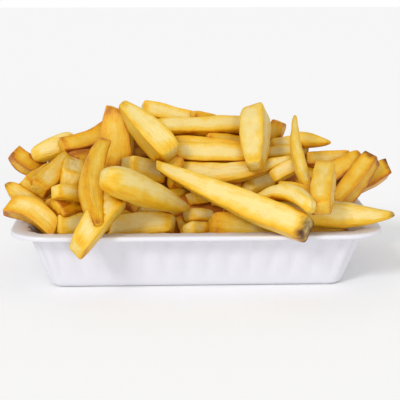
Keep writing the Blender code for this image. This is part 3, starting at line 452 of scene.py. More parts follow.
class Picture:
    """What the eye sees: how deep the nearest fry lies at each place, and where fries are."""

    # How far a fry sinks into those that it lies on, and how steeply it may lie
    SINK = 2.2
    STEEPEST = 1.1
    BINS = 24
    SPARE_PIXELS = 2
    # How much of the section's thickness is rounded off at its sides
    ROUNDED_OFF = 0.5
    FRONT_DISTANCE = 620.0
    PIXELS_A_MM = Eye.focal_length / FRONT_DISTANCE
    MM_A_PIXEL = 0.52
    # A hidden fry lies at least this far behind the front
    BEHIND = 1.0

    def __init__(self, eye: Eye, form: HeapForm) -> None:
        """Start from the heap's form, with no fry entered yet."""
        self.eye = eye
        self.depth = form.support_depths(eye)
        self.nearest = np.full(self.depth.shape, -np.inf)
        self.skyline = np.zeros(eye.picture_size)

    def footprint(self, seen: Seen, half_width: float) -> tuple[np.ndarray, ...]:
        """Find the places that a fry covers.

        Args:
            seen: The fry.
            half_width: Half its width in the picture.

        Returns:
            The rows and columns, and the shares along and across the fry at each.
        """
        start, end = np.array(seen.start, float), np.array(seen.end, float)
        along_step = end - start
        normal = np.array((-along_step[1], along_step[0])) / np.linalg.norm(along_step)
        if picks_other_side(normal):
            normal = -normal
        bow = seen.bow * self.PIXELS_A_MM
        margin = half_width + abs(bow) + self.SPARE_PIXELS
        low = np.maximum(np.minimum(start, end) - margin, 0).astype(int)
        high = np.minimum(np.maximum(start, end) + margin, self.eye.picture_size - 1).astype(int)
        v, u = np.mgrid[low[1]:high[1] + 1, low[0]:high[0] + 1]
        offset = np.stack((u - start[0], v - start[1]), -1)
        along = offset @ along_step / (along_step @ along_step)
        inside = (along >= 0) & (along <= 1)
        along = np.clip(along, 0, 1)
        across = offset @ normal - bow * 4 * along * (1 - along)
        across = across / (half_width * fullness(along, seen.narrow, seen.blunt))
        inside &= np.abs(across) <= 1
        return v[inside], u[inside], along[inside], across[inside]

    def resting_line(self, along: np.ndarray, room: np.ndarray,
                     length: float) -> tuple[float, float]:
        """Find the line that lies furthest back with all the fries behind it left clear.

        It touches on both sides of the middle, as a straight thing does when it rests.

        Args:
            along: Shares of the length.
            room: The depth that is free at each.
            length: The length of the line, which limits how steep it is.

        Returns:
            The depth at both ends.
        """
        bins = np.linspace(0, 1, self.BINS + 1)
        which = np.clip(np.digitize(along, bins) - 1, 0, self.BINS - 1)
        middles = (bins[:-1] + bins[1:]) / 2
        lowest = np.full(self.BINS, np.inf)
        np.minimum.at(lowest, which, room)
        known = np.isfinite(lowest)
        middles, lowest = middles[known], lowest[known]
        left, right = middles <= 0.5, middles > 0.5
        near, far = np.meshgrid(np.flatnonzero(left), np.flatnonzero(right), indexing="ij")
        slopes = (lowest[far] - lowest[near]) / (middles[far] - middles[near])
        halfway = lowest[near] + slopes * (0.5 - middles[near])
        steepest = self.STEEPEST * length
        slope = float(np.clip(slopes.flat[np.argmin(halfway)], -steepest, steepest))
        first = float(np.min(lowest - slope * middles))
        return first, first + slope

    def lay(self, seen: Seen, half_height: float) -> tuple[float, float]:
        """Return the depth of both ends of a fry that is pushed back until it lies on others."""
        half_width = seen.across / 2 * self.PIXELS_A_MM
        v, u, along, across = self.footprint(seen, half_width)
        half_section = half_height * np.sqrt(1 - self.ROUNDED_OFF * across ** 2)
        room = self.depth[v, u] - half_section + self.SINK
        return self.resting_line(along, room, math.dist(seen.start, seen.end) * self.MM_A_PIXEL)

    def cover(self, fry: Fry) -> None:
        """Enter a fry that has been placed."""
        u, v, depth = self.eye.seen_at(fry.surface(*surface_samples(*FINE_SAMPLES)))
        u, v = np.round(u).astype(int), np.round(v).astype(int)
        size = self.eye.picture_size
        inside = (u >= 0) & (u < size) & (v >= 0) & (v < size)
        place = (v[inside], u[inside])
        np.minimum.at(self.depth, place, depth[inside])
        self.nearest[place] = self.depth[place]

    def stays_hidden(self, fry: Fry) -> bool:
        """Tell whether a fry stays under the skyline and hides no fry of the front."""
        u, v, depth = self.eye.pixels(fry.surface(*surface_samples(*HIDING_SAMPLES)))
        behind = depth > self.nearest[v, u] + self.BEHIND
        return bool((v >= self.skyline[u]).all() and behind.all())

    def close_skyline(self) -> None:
        """Note the highest covered place of each column, once the front is laid."""
        covered = np.isfinite(self.nearest)
        highest = np.argmax(covered, axis=0)
        self.skyline = np.where(covered.any(axis=0), highest + 1, self.eye.picture_size)

    def place(self, seen: Seen) -> Fry:
        """Turn a fry of the front into one in space.

        Args:
            seen: The fry as the picture gives it.

        Returns:
            The fry, where it lies on the ones behind it.
        """
        eye = self.eye
        roll = math.radians(seen.roll)
        corner_share = 1 - 2 * FryKind.EDGE_OF_SOLID
        thickness = FryKind.FATTER * seen.across
        width = thickness / (math.cos(roll) + corner_share * abs(math.sin(roll)))
        start, end = np.array(seen.start, float), np.array(seen.end, float)
        if seen.depth:
            depths = (eye.depth_at_y(*start, seen.depth[0]), eye.depth_at_y(*end, seen.depth[1]))
        else:
            depths = self.lay(seen, width / 2)
        middle = np.array(eye.place)
        ends = (middle + eye.ray(*start) * depths[0], middle + eye.ray(*end) * depths[1])
        axis = unit(ends[1] - ends[0])
        to_eye = unit(middle - (ends[0] + ends[1]) / 2)
        up = unit(np.cross(axis, to_eye))
        if picks_other_side((up @ eye.right, -(up @ eye.upward))):
            up = -up
        out = unit(to_eye - axis * (to_eye @ axis))
        front = out * math.cos(roll) + up * math.sin(roll)
        side = up * math.cos(roll) - out * math.sin(roll)
        bend = up * seen.bow + out * seen.arch
        return Fry(ends, side, front, width, width, bend, seen.narrow, seen.blunt,
                   seen.cut, seen.tone, seen.burnt)


@dataclass(frozen=True)
class TrayShape:
    """The sizes of the tray, and the room that it leaves for fries.

    gap is how far fries stay off the tray. A fry that touches is moved out by a little more than
    it reaches in, the spare, and lifted each time.
    """

    WALL_TRIES = 8
    CLEAR_TRIES = 60
    SPARE = 0.05
    LIFT = 0.1
    POINTS_OF_LINE = 9

    rim_half_length: float = 92.5
    rim_half_width: float = 56.0
    height: float = 30.4
    wall: float = 0.9
    flange: float = 8.0
    lip_drop: float = 2.3
    base_half_length: float = 73.2
    base_half_width: float = 36.8
    base_edge: float = 2.4
    wall_top_corner: float = 12.5
    base_corner: float = 7.0
    side_bow: float = 0.8
    flutes_on_sides: tuple[int, int] = (13, 7)
    flutes_on_corner: int = 2
    flute_depth: float = 0.9
    flute_start: float = 13.0
    floor_reach: float = 40.0
    beside_rim: float = 2.0
    gap: float = 0.4

    @property
    def wall_top(self) -> float:
        """Return the height of the top of the wall."""
        return self.height - self.wall

    def wall_sizes(self, z: np.ndarray) -> tuple[np.ndarray, np.ndarray, np.ndarray]:
        """Return the half length, half width and corner radius of the outside at a height."""
        share = np.clip(z / self.wall_top, 0, 1)
        top_length = self.rim_half_length - self.flange
        top_width = self.rim_half_width - self.flange
        half_length = self.base_half_length + (top_length - self.base_half_length) * share
        half_width = self.base_half_width + (top_width - self.base_half_width) * share
        radius = self.base_corner + (self.wall_top_corner - self.base_corner) * share
        return half_length, half_width, radius

    @staticmethod
    def outline_distance(points: np.ndarray, half_length: np.ndarray, half_width: np.ndarray,
                         radius: np.ndarray) -> tuple[np.ndarray, np.ndarray]:
        """Work out how far points lie outside a rounded rectangle.

        Args:
            points: The points.
            half_length: Half the rectangle's length.
            half_width: Half its width.
            radius: The radius of its corners.

        Returns:
            The distances, and the directions straight out.
        """
        over_x = np.abs(points[:, 0]) - (half_length - radius)
        over_y = np.abs(points[:, 1]) - (half_width - radius)
        outside = np.hypot(np.maximum(over_x, 0), np.maximum(over_y, 0))
        distance = outside + np.minimum(np.maximum(over_x, over_y), 0) - radius
        in_corner = (over_x > 0) & (over_y > 0)
        way_x = np.where(in_corner, over_x, over_x >= over_y) * np.sign(points[:, 0])
        way_y = np.where(in_corner, over_y, over_x < over_y) * np.sign(points[:, 1])
        length = np.maximum(np.hypot(way_x, way_y), TINY)
        return distance, np.stack((way_x / length, way_y / length), -1)

    def room(self, points: np.ndarray) -> tuple[np.ndarray, np.ndarray]:
        """Work out how far points are clear of the tray.

        Args:
            points: The points.

        Returns:
            The clear distances, and the directions that take the points off the tray.
        """
        half_length, half_width, radius = self.wall_sizes(points[:, 2])
        distance, straight_out = self.outline_distance(points, half_length, half_width, radius)
        top_length = self.rim_half_length - self.flange
        place = np.stack((distance + half_length - top_length, points[:, 2]), -1)
        inset = self.base_half_length - top_length
        half = self.wall / 2
        middle_of_rim = self.height - half
        rim_edge = self.flange - half
        # The floor, the wall, the flange and the lip, each from its start to its end
        section = (
            ((inset - self.floor_reach, half), (inset, half), half),
            ((inset, half), (-half, middle_of_rim), half + self.flute_depth),
            ((-half, middle_of_rim), (rim_edge, middle_of_rim), half),
            ((rim_edge, middle_of_rim), (rim_edge, self.height - self.lip_drop), half),
        )
        room = np.full(len(points), np.inf)
        way = np.zeros((len(points), 2))
        for first, last, thickness in section:
            first, run = np.array(first), np.array(last) - np.array(first)
            share = np.clip((place - first) @ run / (run @ run), 0, 1)[:, None]
            offset = place - first - run * share
            length = np.maximum(np.linalg.norm(offset, axis=1), TINY)
            nearer = length - thickness < room
            room = np.where(nearer, length - thickness, room)
            way = np.where(nearer[:, None], offset / length[:, None], way)
        direction = np.concatenate((straight_out * way[:, :1], way[:, 1:]), axis=1)
        return room - self.gap, direction

    def keep_inside(self, fry: Fry) -> None:
        """Move a fry that lies within the walls inward, or up where that is less, off the tray."""
        samples = surface_samples(*CLEARING_SAMPLES)
        for _ in range(self.WALL_TRIES):
            points = fry.surface(*samples)
            distance, straight_out = self.outline_distance(points, *self.wall_sizes(points[:, 2]))
            into_wall = distance + self.wall + self.flute_depth + 2 * self.gap
            under_rim = self.height + self.gap - points[:, 2]
            under_floor = self.wall + self.gap - points[:, 2]
            near_rim = distance < self.flange + self.beside_rim
            touching = (into_wall > 0) & (under_rim > 0) & near_rim
            if under_floor.max() > 0:
                fry.move(np.array((0, 0, under_floor.max())))
            elif not touching.any():
                return
            elif into_wall[touching].max() < 2 * under_rim[touching].max():
                worst = np.flatnonzero(touching)[np.argmax(into_wall[touching])]
                fry.move(np.array((*(-straight_out[worst] * into_wall[worst]), 0.0)))
            else:
                fry.move(np.array((0, 0, under_rim[touching].max())))

    def clear(self, fry: Fry) -> bool:
        """Move a fry until it no longer touches the tray.

        Args:
            fry: The fry, which is moved in place.

        Returns:
            Whether it came clear.
        """
        half_length, half_width, _ = self.wall_sizes(self.wall_top)
        line = fry.middle_line(np.linspace(0, 1, self.POINTS_OF_LINE))
        if (np.abs(line[:, 0]) < half_length).all() and (np.abs(line[:, 1]) < half_width).all():
            self.keep_inside(fry)
        samples = surface_samples(*CLEARING_SAMPLES)
        for _ in range(self.CLEAR_TRIES):
            room, direction = self.room(fry.surface(*samples))
            worst = int(np.argmin(room))
            if room[worst] >= 0:
                return True
            step = direction[worst] * (self.SPARE - room[worst])
            step[2] += self.LIFT
            fry.move(step)
        return False


class HeapLayout:
    """Lays every fry of the heap: the front as it is seen, and the rest by rule."""

    SEED = 23
    TRIES = 6000
    LENGTHS = (34.0, 74.0)
    WIDTHS = (7.6, 11.0)
    FLATNESS = (0.85, 1.0)
    # The spread of the turn about Z in radians, the most roll in degrees, and the spread of the
    # bend as a share of the length
    TURN = 0.6
    MOST_ROLL = 35
    BEND = 0.03
    NARROW = ((0.86, 0.8, 0.4), (0.86, 0.7, 0.86))
    BLUNT = ((7, 4, 2.5), (7, 5, 3))
    LEAST_DEPTH = 3.5
    REACH = (97.0, 53.0)
    STEEPEST = 1.1
    MOST_SHIFT = 9.0
    # How close two fries may lie, as a share of their mean thickness
    CLOSEST = 0.62
    LINE_SHARES = np.linspace(0.04, 0.96, 11)
    NEARLY_TOUCHING = 1.3
    LEAST_OVERLAP = 1.4
    # A fry that reaches this far into the core is held by it
    CORE_REACH = (74.0, 40.0)
    CORE_GRIP = 1.5
    UNDERSIDE = 0.3
    PROP_TRIES = 4000
    PROP_LENGTHS = (26.0, 56.0)
    PROP_WIDTHS = (7.6, 10.4)
    PROP_PLACES = (0.1, 0.9)
    PROP_RISE = (-0.9, 0.3)
    PROP_APART = 0.72
    PROP_CLOSEST = 0.5
    TONES = (Tone.PALE, Tone.PALE, Tone.PALE, Tone.YELLOW, Tone.YELLOW, Tone.TAN, Tone.GOLD)
    BURNT = ((0.0, 0.0, 0.3), (0.0, 0.0, 0.5))

    def __init__(self, tray: TrayShape, form: HeapForm, eye: Eye) -> None:
        """Start with no fry laid."""
        self.tray = tray
        self.form = form
        self.eye = eye
        self.picture = Picture(eye, form)
        self.looks = random.Random(self.SEED + 1)
        self.fries: list[Fry] = []
        self.lines = np.empty((0, len(self.LINE_SHARES), 3))
        self.sizes = np.empty((0, len(self.LINE_SHARES)))
        self.touching = np.zeros((0, 0), bool)

    def sizes_along(self, fry: Fry) -> np.ndarray:
        """Return the thickness of a fry at the points that stand for it."""
        return fry.width * fullness(self.LINE_SHARES, fry.narrow, fry.blunt)

    def add(self, fry: Fry) -> None:
        """Take a fry into the heap."""
        touched = self.touched(fry)
        self.touching = np.pad(self.touching, ((0, 1), (0, 1)))
        self.touching[-1, :-1] = touched
        self.touching[:-1, -1] = touched
        self.fries.append(fry)
        self.lines = np.append(self.lines, [fry.middle_line(self.LINE_SHARES)], axis=0)
        self.sizes = np.append(self.sizes, [self.sizes_along(fry)], axis=0)

    def closeness(self, fry: Fry) -> np.ndarray:
        """Return how close a fry comes to each one, as a share of their mean thickness."""
        line = fry.middle_line(self.LINE_SHARES)
        apart = np.linalg.norm(self.lines[:, :, None, :] - line, axis=-1)
        return (2 * apart / (self.sizes[:, :, None] + self.sizes_along(fry))).min(axis=(1, 2))

    @staticmethod
    def overlap(fry: Fry, other: Fry) -> float:
        """Return how deep one fry reaches into another."""
        samples = surface_samples(*OVERLAP_SAMPLES)
        into_other = other.depth_inside(fry.surface(*samples)).max()
        into_fry = fry.depth_inside(other.surface(*samples)).max()
        return float(max(into_other, into_fry))

    def touched(self, fry: Fry) -> np.ndarray:
        """Tell of each one whether a fry overlaps it."""
        touched = np.zeros(len(self.fries), bool)
        if self.fries:
            for number in np.flatnonzero(self.closeness(fry) < self.NEARLY_TOUCHING):
                touched[number] = self.overlap(fry, self.fries[number]) > self.LEAST_OVERLAP
        return touched

    def touches_core(self, fry: Fry) -> bool:
        """Tell whether a fry reaches into the core."""
        x, y, z = fry.middle_line(self.LINE_SHARES).T
        over_core = (np.abs(x) < self.CORE_REACH[0]) & (np.abs(y) < self.CORE_REACH[1])
        cover = np.interp(y, self.form.cover_places, self.form.covers)
        core_top = self.form.height(x, y) - cover
        grip = np.maximum(core_top - self.CORE_GRIP, HeapCore.SHOULDER - self.CORE_GRIP)
        return bool((over_core & (z - self.UNDERSIDE * fry.height < grip)).any())

    def held(self) -> np.ndarray:
        """Tell of each fry whether it touches the core, itself or through others."""
        held = np.array([self.touches_core(fry) for fry in self.fries])
        while True:
            reached = held | self.touching[held].any(axis=0)
            if (reached == held).all():
                return held
            held = reached

    def lay_front(self, seen_fries: Iterable[Seen]) -> None:
        """Lay the fries that are seen, from the back of the heap to its front."""
        for seen in seen_fries:
            fry = self.picture.place(seen)
            if self.tray.clear(fry):
                self.picture.cover(fry)
                self.add(fry)
        self.picture.close_skyline()

    def drawn_fry(self, draw: random.Random) -> Fry:
        """Draw a fry that follows the heap's form somewhere under it.

        Args:
            draw: The source of the draws.

        Returns:
            The fry.
        """
        length, width = draw.uniform(*self.LENGTHS), draw.uniform(*self.WIDTHS)
        heading = draw.gauss(0, self.TURN)
        reach_x, reach_y = self.REACH
        middle = np.array((draw.uniform(-reach_x, reach_x), draw.uniform(-reach_y, reach_y)))
        flat = np.array((math.cos(heading), math.sin(heading)))
        depth = draw.uniform(self.LEAST_DEPTH, self.form.cover(middle[1]))
        ends = tuple(np.array((*place, float(self.form.height(*place)) - depth))
                     for place in (middle - flat * length / 2, middle + flat * length / 2))
        axis = unit(ends[1] - ends[0])
        level = unit(np.cross((0, 0, 1.0), axis))
        up = np.cross(axis, level)
        roll = math.radians(draw.uniform(-self.MOST_ROLL, self.MOST_ROLL))
        side = level * math.cos(roll) + up * math.sin(roll)
        front = up * math.cos(roll) - level * math.sin(roll)
        narrow = tuple(draw.choice(shares) for shares in self.NARROW)
        blunt = tuple(draw.choice(powers) for powers in self.BLUNT)
        bend = level * draw.gauss(0, self.BEND) * length
        height = width * draw.uniform(*self.FLATNESS)
        return Fry(ends, side, front, width, height, bend, narrow, blunt)

    def stays_over_tray(self, fry: Fry) -> bool:
        """Tell whether both ends lie over the tray or in it, and the fry isn't too steep."""
        places = np.array(fry.ends)
        rise = abs(places[1, 2] - places[0, 2]) / np.linalg.norm(places[1, :2] - places[0, :2])
        in_reach = (np.abs(places[:, :2]) < self.REACH).all()
        distance, _ = self.tray.outline_distance(places, *self.tray.wall_sizes(places[:, 2]))
        within = (distance < 0) | (places[:, 2] > self.tray.height)
        return bool(in_reach and rise < self.STEEPEST and within.all())

    def has_room(self, fry: Fry) -> bool:
        """Tell whether a fry keeps off the other fries."""
        return bool((self.closeness(fry) > self.CLOSEST).all())

    def dress(self, fry: Fry) -> None:
        """Draw the cut, the tone and the tips of a fry that the picture doesn't show."""
        fry.cut = self.looks.choice(tuple(Cut))
        fry.tone = self.looks.choice(self.TONES)
        fry.burnt = tuple(self.looks.choice(shares) for shares in self.BURNT)

    def lay_the_rest(self) -> None:
        """Fill the heap out to its form where the picture shows no fry."""
        draw = random.Random(self.SEED)
        for _ in range(self.TRIES):
            fry = self.drawn_fry(draw)
            if not self.stays_over_tray(fry) or not self.has_room(fry):
                continue
            drawn_at = fry.ends[0]
            if not self.tray.clear(fry) or math.dist(fry.ends[0], drawn_at) > self.MOST_SHIFT:
                continue
            fits = self.stays_over_tray(fry) and self.has_room(fry)
            if fits and self.picture.stays_hidden(fry):
                self.dress(fry)
                self.add(fry)

    def settle(self) -> None:
        """Let the fries that SETTLED names come to rest, clear of the tray."""
        for seen, fry in zip(SEEN_FRIES, self.fries):
            if seen.name not in SETTLED:
                continue
            settling = SETTLED[seen.name]
            fry.ends = (fry.ends[0] + settling.start, fry.ends[1] + settling.end)
            fry.bend = fry.bend - np.array((0.0, 0.0, settling.sag))
            fry.width, fry.height = fry.width * settling.swell, fry.height * settling.swell
            fry.narrow = settling.narrow or fry.narrow
            fry.blunt = settling.blunt or fry.blunt
            if not self.tray.clear(fry):
                log.warning("%s touches the tray", seen.name)

    def drawn_prop(self, draw: random.Random, held_up: Fry) -> Fry:
        """Draw a fry that lies against the underside or the back of another one.

        Args:
            draw: The source of the draws.
            held_up: The fry that it is to hold.

        Returns:
            The fry.
        """
        width, length = draw.uniform(*self.PROP_WIDTHS), draw.uniform(*self.PROP_LENGTHS)
        below = held_up.middle_line([draw.uniform(*self.PROP_PLACES)])[0]
        away = unit(self.eye.forward * draw.uniform(0, 1) - np.array((0, 0, draw.uniform(0, 1))))
        touch = below + away * self.PROP_APART * (width + held_up.width) / 2
        heading, share = draw.uniform(-math.pi, math.pi), draw.uniform(0, 0.5)
        axis = unit(np.array((math.cos(heading), math.sin(heading), draw.uniform(*self.PROP_RISE))))
        ends = (touch - axis * length * share, touch + axis * length * (1 - share))
        level = unit(np.cross((0, 0, 1.0), axis))
        return Fry(ends, level, np.cross(axis, level), width, width, 0 * axis, (1, 1), (7, 7))

    def holds(self, prop: Fry, held: np.ndarray) -> bool:
        """Tell whether a prop joins a loose fry to the held ones and may stay where it is."""
        if self.closeness(prop).min() < self.PROP_CLOSEST or not self.stays_over_tray(prop):
            return False
        room, _ = self.tray.room(prop.surface(*surface_samples(*CLEARING_SAMPLES)))
        if not self.picture.stays_hidden(prop) or room.min() < 0:
            return False
        touched = self.touched(prop)
        return bool((touched & ~held).any() and ((touched & held).any() or self.touches_core(prop)))

    def prop_up(self) -> None:
        """Add fries until each one that would hang free is held."""
        draw = random.Random(self.SEED)
        held = self.held()
        for _ in range(self.PROP_TRIES):
            if held.all():
                return
            prop = self.drawn_prop(draw, self.fries[draw.choice(list(np.flatnonzero(~held)))])
            if self.holds(prop, held):
                self.dress(prop)
                self.add(prop)
                held = self.held()


def select_only(things: Sequence[bpy.types.Object]) -> None:
    """Select just these objects, with the first one active."""
    bpy.ops.object.select_all(action="DESELECT")
    for thing in things:
        thing.select_set(True)
    bpy.context.view_layer.objects.active = things[0]


def open_mesh(thing: bpy.types.Object) -> None:
    """Make the object the only selected one and open its mesh with everything selected."""
    select_only([thing])
    bpy.ops.object.mode_set(mode="EDIT")
    bpy.ops.mesh.select_mode(type="EDGE")
    bpy.ops.mesh.select_all(action="SELECT")


def place_ring(thing: bpy.types.Object, places: np.ndarray, ring: np.ndarray) -> None:
    """Move the selected points of an open mesh, each from its place to the one of the new ring.

    Args:
        thing: The object whose mesh is open.
        places: The new places in millimetres.
        ring: The places that the points have now, in the same order.
    """
    mesh = bmesh.from_edit_mesh(thing.data)
    order = {tuple(np.round(place, 2)): number for number, place in enumerate(ring)}
    for vertex in mesh.verts:
        if vertex.select:
            number = order[tuple(np.round(np.array(vertex.co) / METRES, 2))]
            vertex.co = places[number] * METRES
    bmesh.update_edit_mesh(thing.data)


def grown_shell(name: str, rings: Sequence[np.ndarray]) -> bpy.types.Object:
    """Model a closed shell that starts as a filled circle and grows ring by ring.

    Args:
        name: The name of the new object.
        rings: The places of each ring in millimetres, all with as many points.

    Returns:
        The object, with its last ring filled.
    """
    bpy.ops.mesh.primitive_circle_add(vertices=len(rings[0]), radius=1.0, fill_type="NGON")
    shell = bpy.context.active_object
    shell.name = name
    for vertex, place in zip(shell.data.vertices, rings[0]):
        vertex.co = place * METRES
    open_mesh(shell)
    for ring, places in zip(rings, rings[1:]):
        bpy.ops.mesh.extrude_edges_move()
        place_ring(shell, places, ring)
    bpy.ops.mesh.edge_face_add()
    bpy.ops.mesh.select_all(action="SELECT")
    bpy.ops.mesh.normals_make_consistent(inside=False)
    bpy.ops.object.mode_set(mode="OBJECT")
    return shell


@dataclass(frozen=True)
class Outline:
    """A ring of the tray: where on the profile it lies, how far out, how fluted and how high."""

    z: float
    grow: float = 0.0
    flute: float = 0.0
    height: float | None = None


class TrayShell:
    """The tray: a thin fluted wall and floor, with a flange and a lip turned down."""

    POINTS_PER_FLUTE = 8
    # The grooves are this much deeper than in the solid, so that they show as in the photo
    DEEPER = 1.7
    SMOOTH_BELOW = math.radians(50)

    def __init__(self, shape: TrayShape) -> None:
        """Model the tray."""
        self.shape = shape
        rings = [self.ring(outline) for outline in self.profile()]
        self.piece = grown_shell("tray_shell", rings)
        bpy.ops.object.shade_smooth_by_angle(angle=self.SMOOTH_BELOW)

    def profile(self) -> list[Outline]:
        """List the rings from the middle of the underside, up the outside and down the inside.

        Shares of the edge, the grooves' start and the groove depth set the slopes, and the small
        sizes in millimetres round the edges of the flange and the lip.

        Returns:
            The rings.
        """
        shape = self.shape
        height, wall, top = shape.height, shape.wall, shape.wall_top
        edge, start, flute = shape.base_edge, shape.flute_start, shape.flute_depth * self.DEEPER
        flange, lip, end = shape.flange, shape.flange - wall, height - shape.lip_drop
        return [
            Outline(0.0, grow=-edge * 2.5),
            Outline(0.0, grow=-edge),
            Outline(0.0, grow=-edge * 0.45, height=edge * 0.12),
            Outline(edge * 0.5, grow=-edge * 0.12, height=edge * 0.45),
            Outline(edge, grow=0.0),
            Outline(edge * 2, flute=flute * 0.12),
            Outline(start * 0.7, flute=flute * 0.45),
            Outline(start, flute=flute * 0.7),
            Outline(start * 1.6, flute=flute * 0.9),
            Outline(top - 1.2, flute=flute),
            Outline(top, grow=0.15, flute=flute, height=top - 0.35),
            Outline(top, grow=0.6, flute=flute * 0.7, height=top),
            Outline(top, grow=lip - 0.5, height=top),
            Outline(top, grow=lip, height=top - 0.4),
            Outline(top, grow=lip, height=end + 0.1),
            Outline(top, grow=lip + 0.2, height=end),
            Outline(top, grow=flange - 0.2, height=end),
            Outline(top, grow=flange, height=end + 0.2),
            Outline(top, grow=flange, height=height - 1.0),
            Outline(top, grow=flange - 0.12, height=height - 0.5),
            Outline(top, grow=flange - 0.45, height=height - 0.14),
            Outline(top, grow=flange - 1.0, height=height),
            Outline(top, grow=0.7, flute=flute * 0.3, height=height),
            Outline(top, grow=-wall * 0.4, flute=flute * 0.8, height=height - 0.25),
            Outline(top, grow=-wall, flute=flute, height=height - 1.2),
            Outline(start * 1.6, grow=-wall, flute=flute * 0.9),
            Outline(start, grow=-wall, flute=flute * 0.7),
            Outline(edge * 2, grow=-wall, flute=flute * 0.12),
            Outline(edge, grow=-wall, height=edge + wall * 0.5),
            Outline(0.0, grow=-wall - edge * 0.3, height=wall + edge * 0.2),
            Outline(0.0, grow=-wall - edge, height=wall),
        ]

    def ring(self, outline: Outline) -> np.ndarray:
        """Work out the points of one ring, side by side and corner by corner."""
        half_length, half_width, radius = self.shape.wall_sizes(outline.z)
        x = half_length - radius
        y = half_width - radius
        radius = radius + outline.grow
        corners = ((x, -y), (x, y), (-x, y), (-x, -y))
        points = []
        for side, corner in enumerate(corners):
            turn = (side - 1) * math.pi / 2
            outward = np.array((math.cos(turn), math.sin(turn)))
            long_side = side % 2 == 0
            flutes = self.shape.flutes_on_sides[0 if long_side else 1]
            bow = self.shape.side_bow * outline.z / self.shape.wall_top if long_side else 0.0
            start = np.array(corners[side - 1]) + outward * radius
            end = np.array(corner) + outward * radius
            points += self.side(start, end, outward, bow, flutes)
            points += self.corner(np.array(corner), radius, turn)
        level = outline.z if outline.height is None else outline.height
        return np.array([(*(place - outward * depth * outline.flute), level)
                         for place, outward, depth in points])

    def groove(self, number: int) -> float:
        """Return how deep the groove between two flutes is at a point, as a share."""
        return 1 - abs(math.sin(math.pi * number / self.POINTS_PER_FLUTE))

    def side(self, start: np.ndarray, end: np.ndarray, outward: np.ndarray, bow: float,
             flutes: int) -> list[tuple[np.ndarray, np.ndarray, float]]:
        """Return the points along a side, the direction outward and the groove at each."""
        count = flutes * self.POINTS_PER_FLUTE
        points = []
        for number in range(count):
            share = number / count
            place = start + (end - start) * share + outward * bow * 4 * share * (1 - share)
            points.append((place, outward, self.groove(number)))
        return points

    def corner(self, middle: np.ndarray, radius: float,
               turn: float) -> list[tuple[np.ndarray, np.ndarray, float]]:
        """Return the points round a corner, the direction outward and the groove at each."""
        count = self.shape.flutes_on_corner * self.POINTS_PER_FLUTE
        points = []
        for number in range(count):
            angle = turn + math.pi / 2 * number / count
            outward = np.array((math.cos(angle), math.sin(angle)))
            points.append((middle + outward * radius, outward, self.groove(number)))
        return points


class HeapCore:
    """The crumbled fries in the heart of the heap, which only show as dark gaps."""

    POINTS = 72
    INSET = 3.6
    FLOOR = 1.6
    SHOULDER = 19.0
    SHARES = (0.94, 0.84, 0.7, 0.54, 0.36, 0.18, 0.05)
    SQUARENESS = 0.45
    LEAST_RISE = 1.0
    SMOOTH_BELOW = math.radians(60)

    def __init__(self, tray: TrayShape, form: HeapForm) -> None:
        """Model the core."""
        edge = self.ring(tray, self.SHOULDER)
        rings = [self.ring(tray, self.FLOOR), edge]
        for share in self.SHARES:
            ring = []
            for x, y, _ in edge:
                x, y = x * share, y * share + form.crest_y * (1 - share)
                top = float(form.height(x, y)) - form.cover(y)
                ring.append((x, y, max(top, self.SHOULDER + self.LEAST_RISE)))
            rings.append(np.array(ring))
        self.piece = grown_shell("heap_core", rings)
        bpy.ops.object.shade_smooth_by_angle(angle=self.SMOOTH_BELOW)

    def ring(self, tray: TrayShape, z: float) -> np.ndarray:
        """Return a ring that follows the inside of the tray at a height."""
        half_length, half_width, _ = tray.wall_sizes(z)
        points = []
        for number in range(self.POINTS):
            angle = 2 * math.pi * number / self.POINTS
            across, out = math.cos(angle), math.sin(angle)
            x = math.copysign(abs(across) ** self.SQUARENESS, across) * (half_length - self.INSET)
            y = math.copysign(abs(out) ** self.SQUARENESS, out) * (half_width - self.INSET)
            points.append((x, y, z))
        return np.array(points)


def write_attribute(thing: bpy.types.Object, name: str, kind: str, values: np.ndarray) -> None:
    """Write a value of that kind to each point of an object's mesh."""
    field_names = {"FLOAT_VECTOR": "vector", "FLOAT_COLOR": "color", "FLOAT": "value"}
    attribute = thing.data.attributes.new(name, kind, "POINT")
    attribute.data.foreach_set(field_names[kind], np.ravel(values))


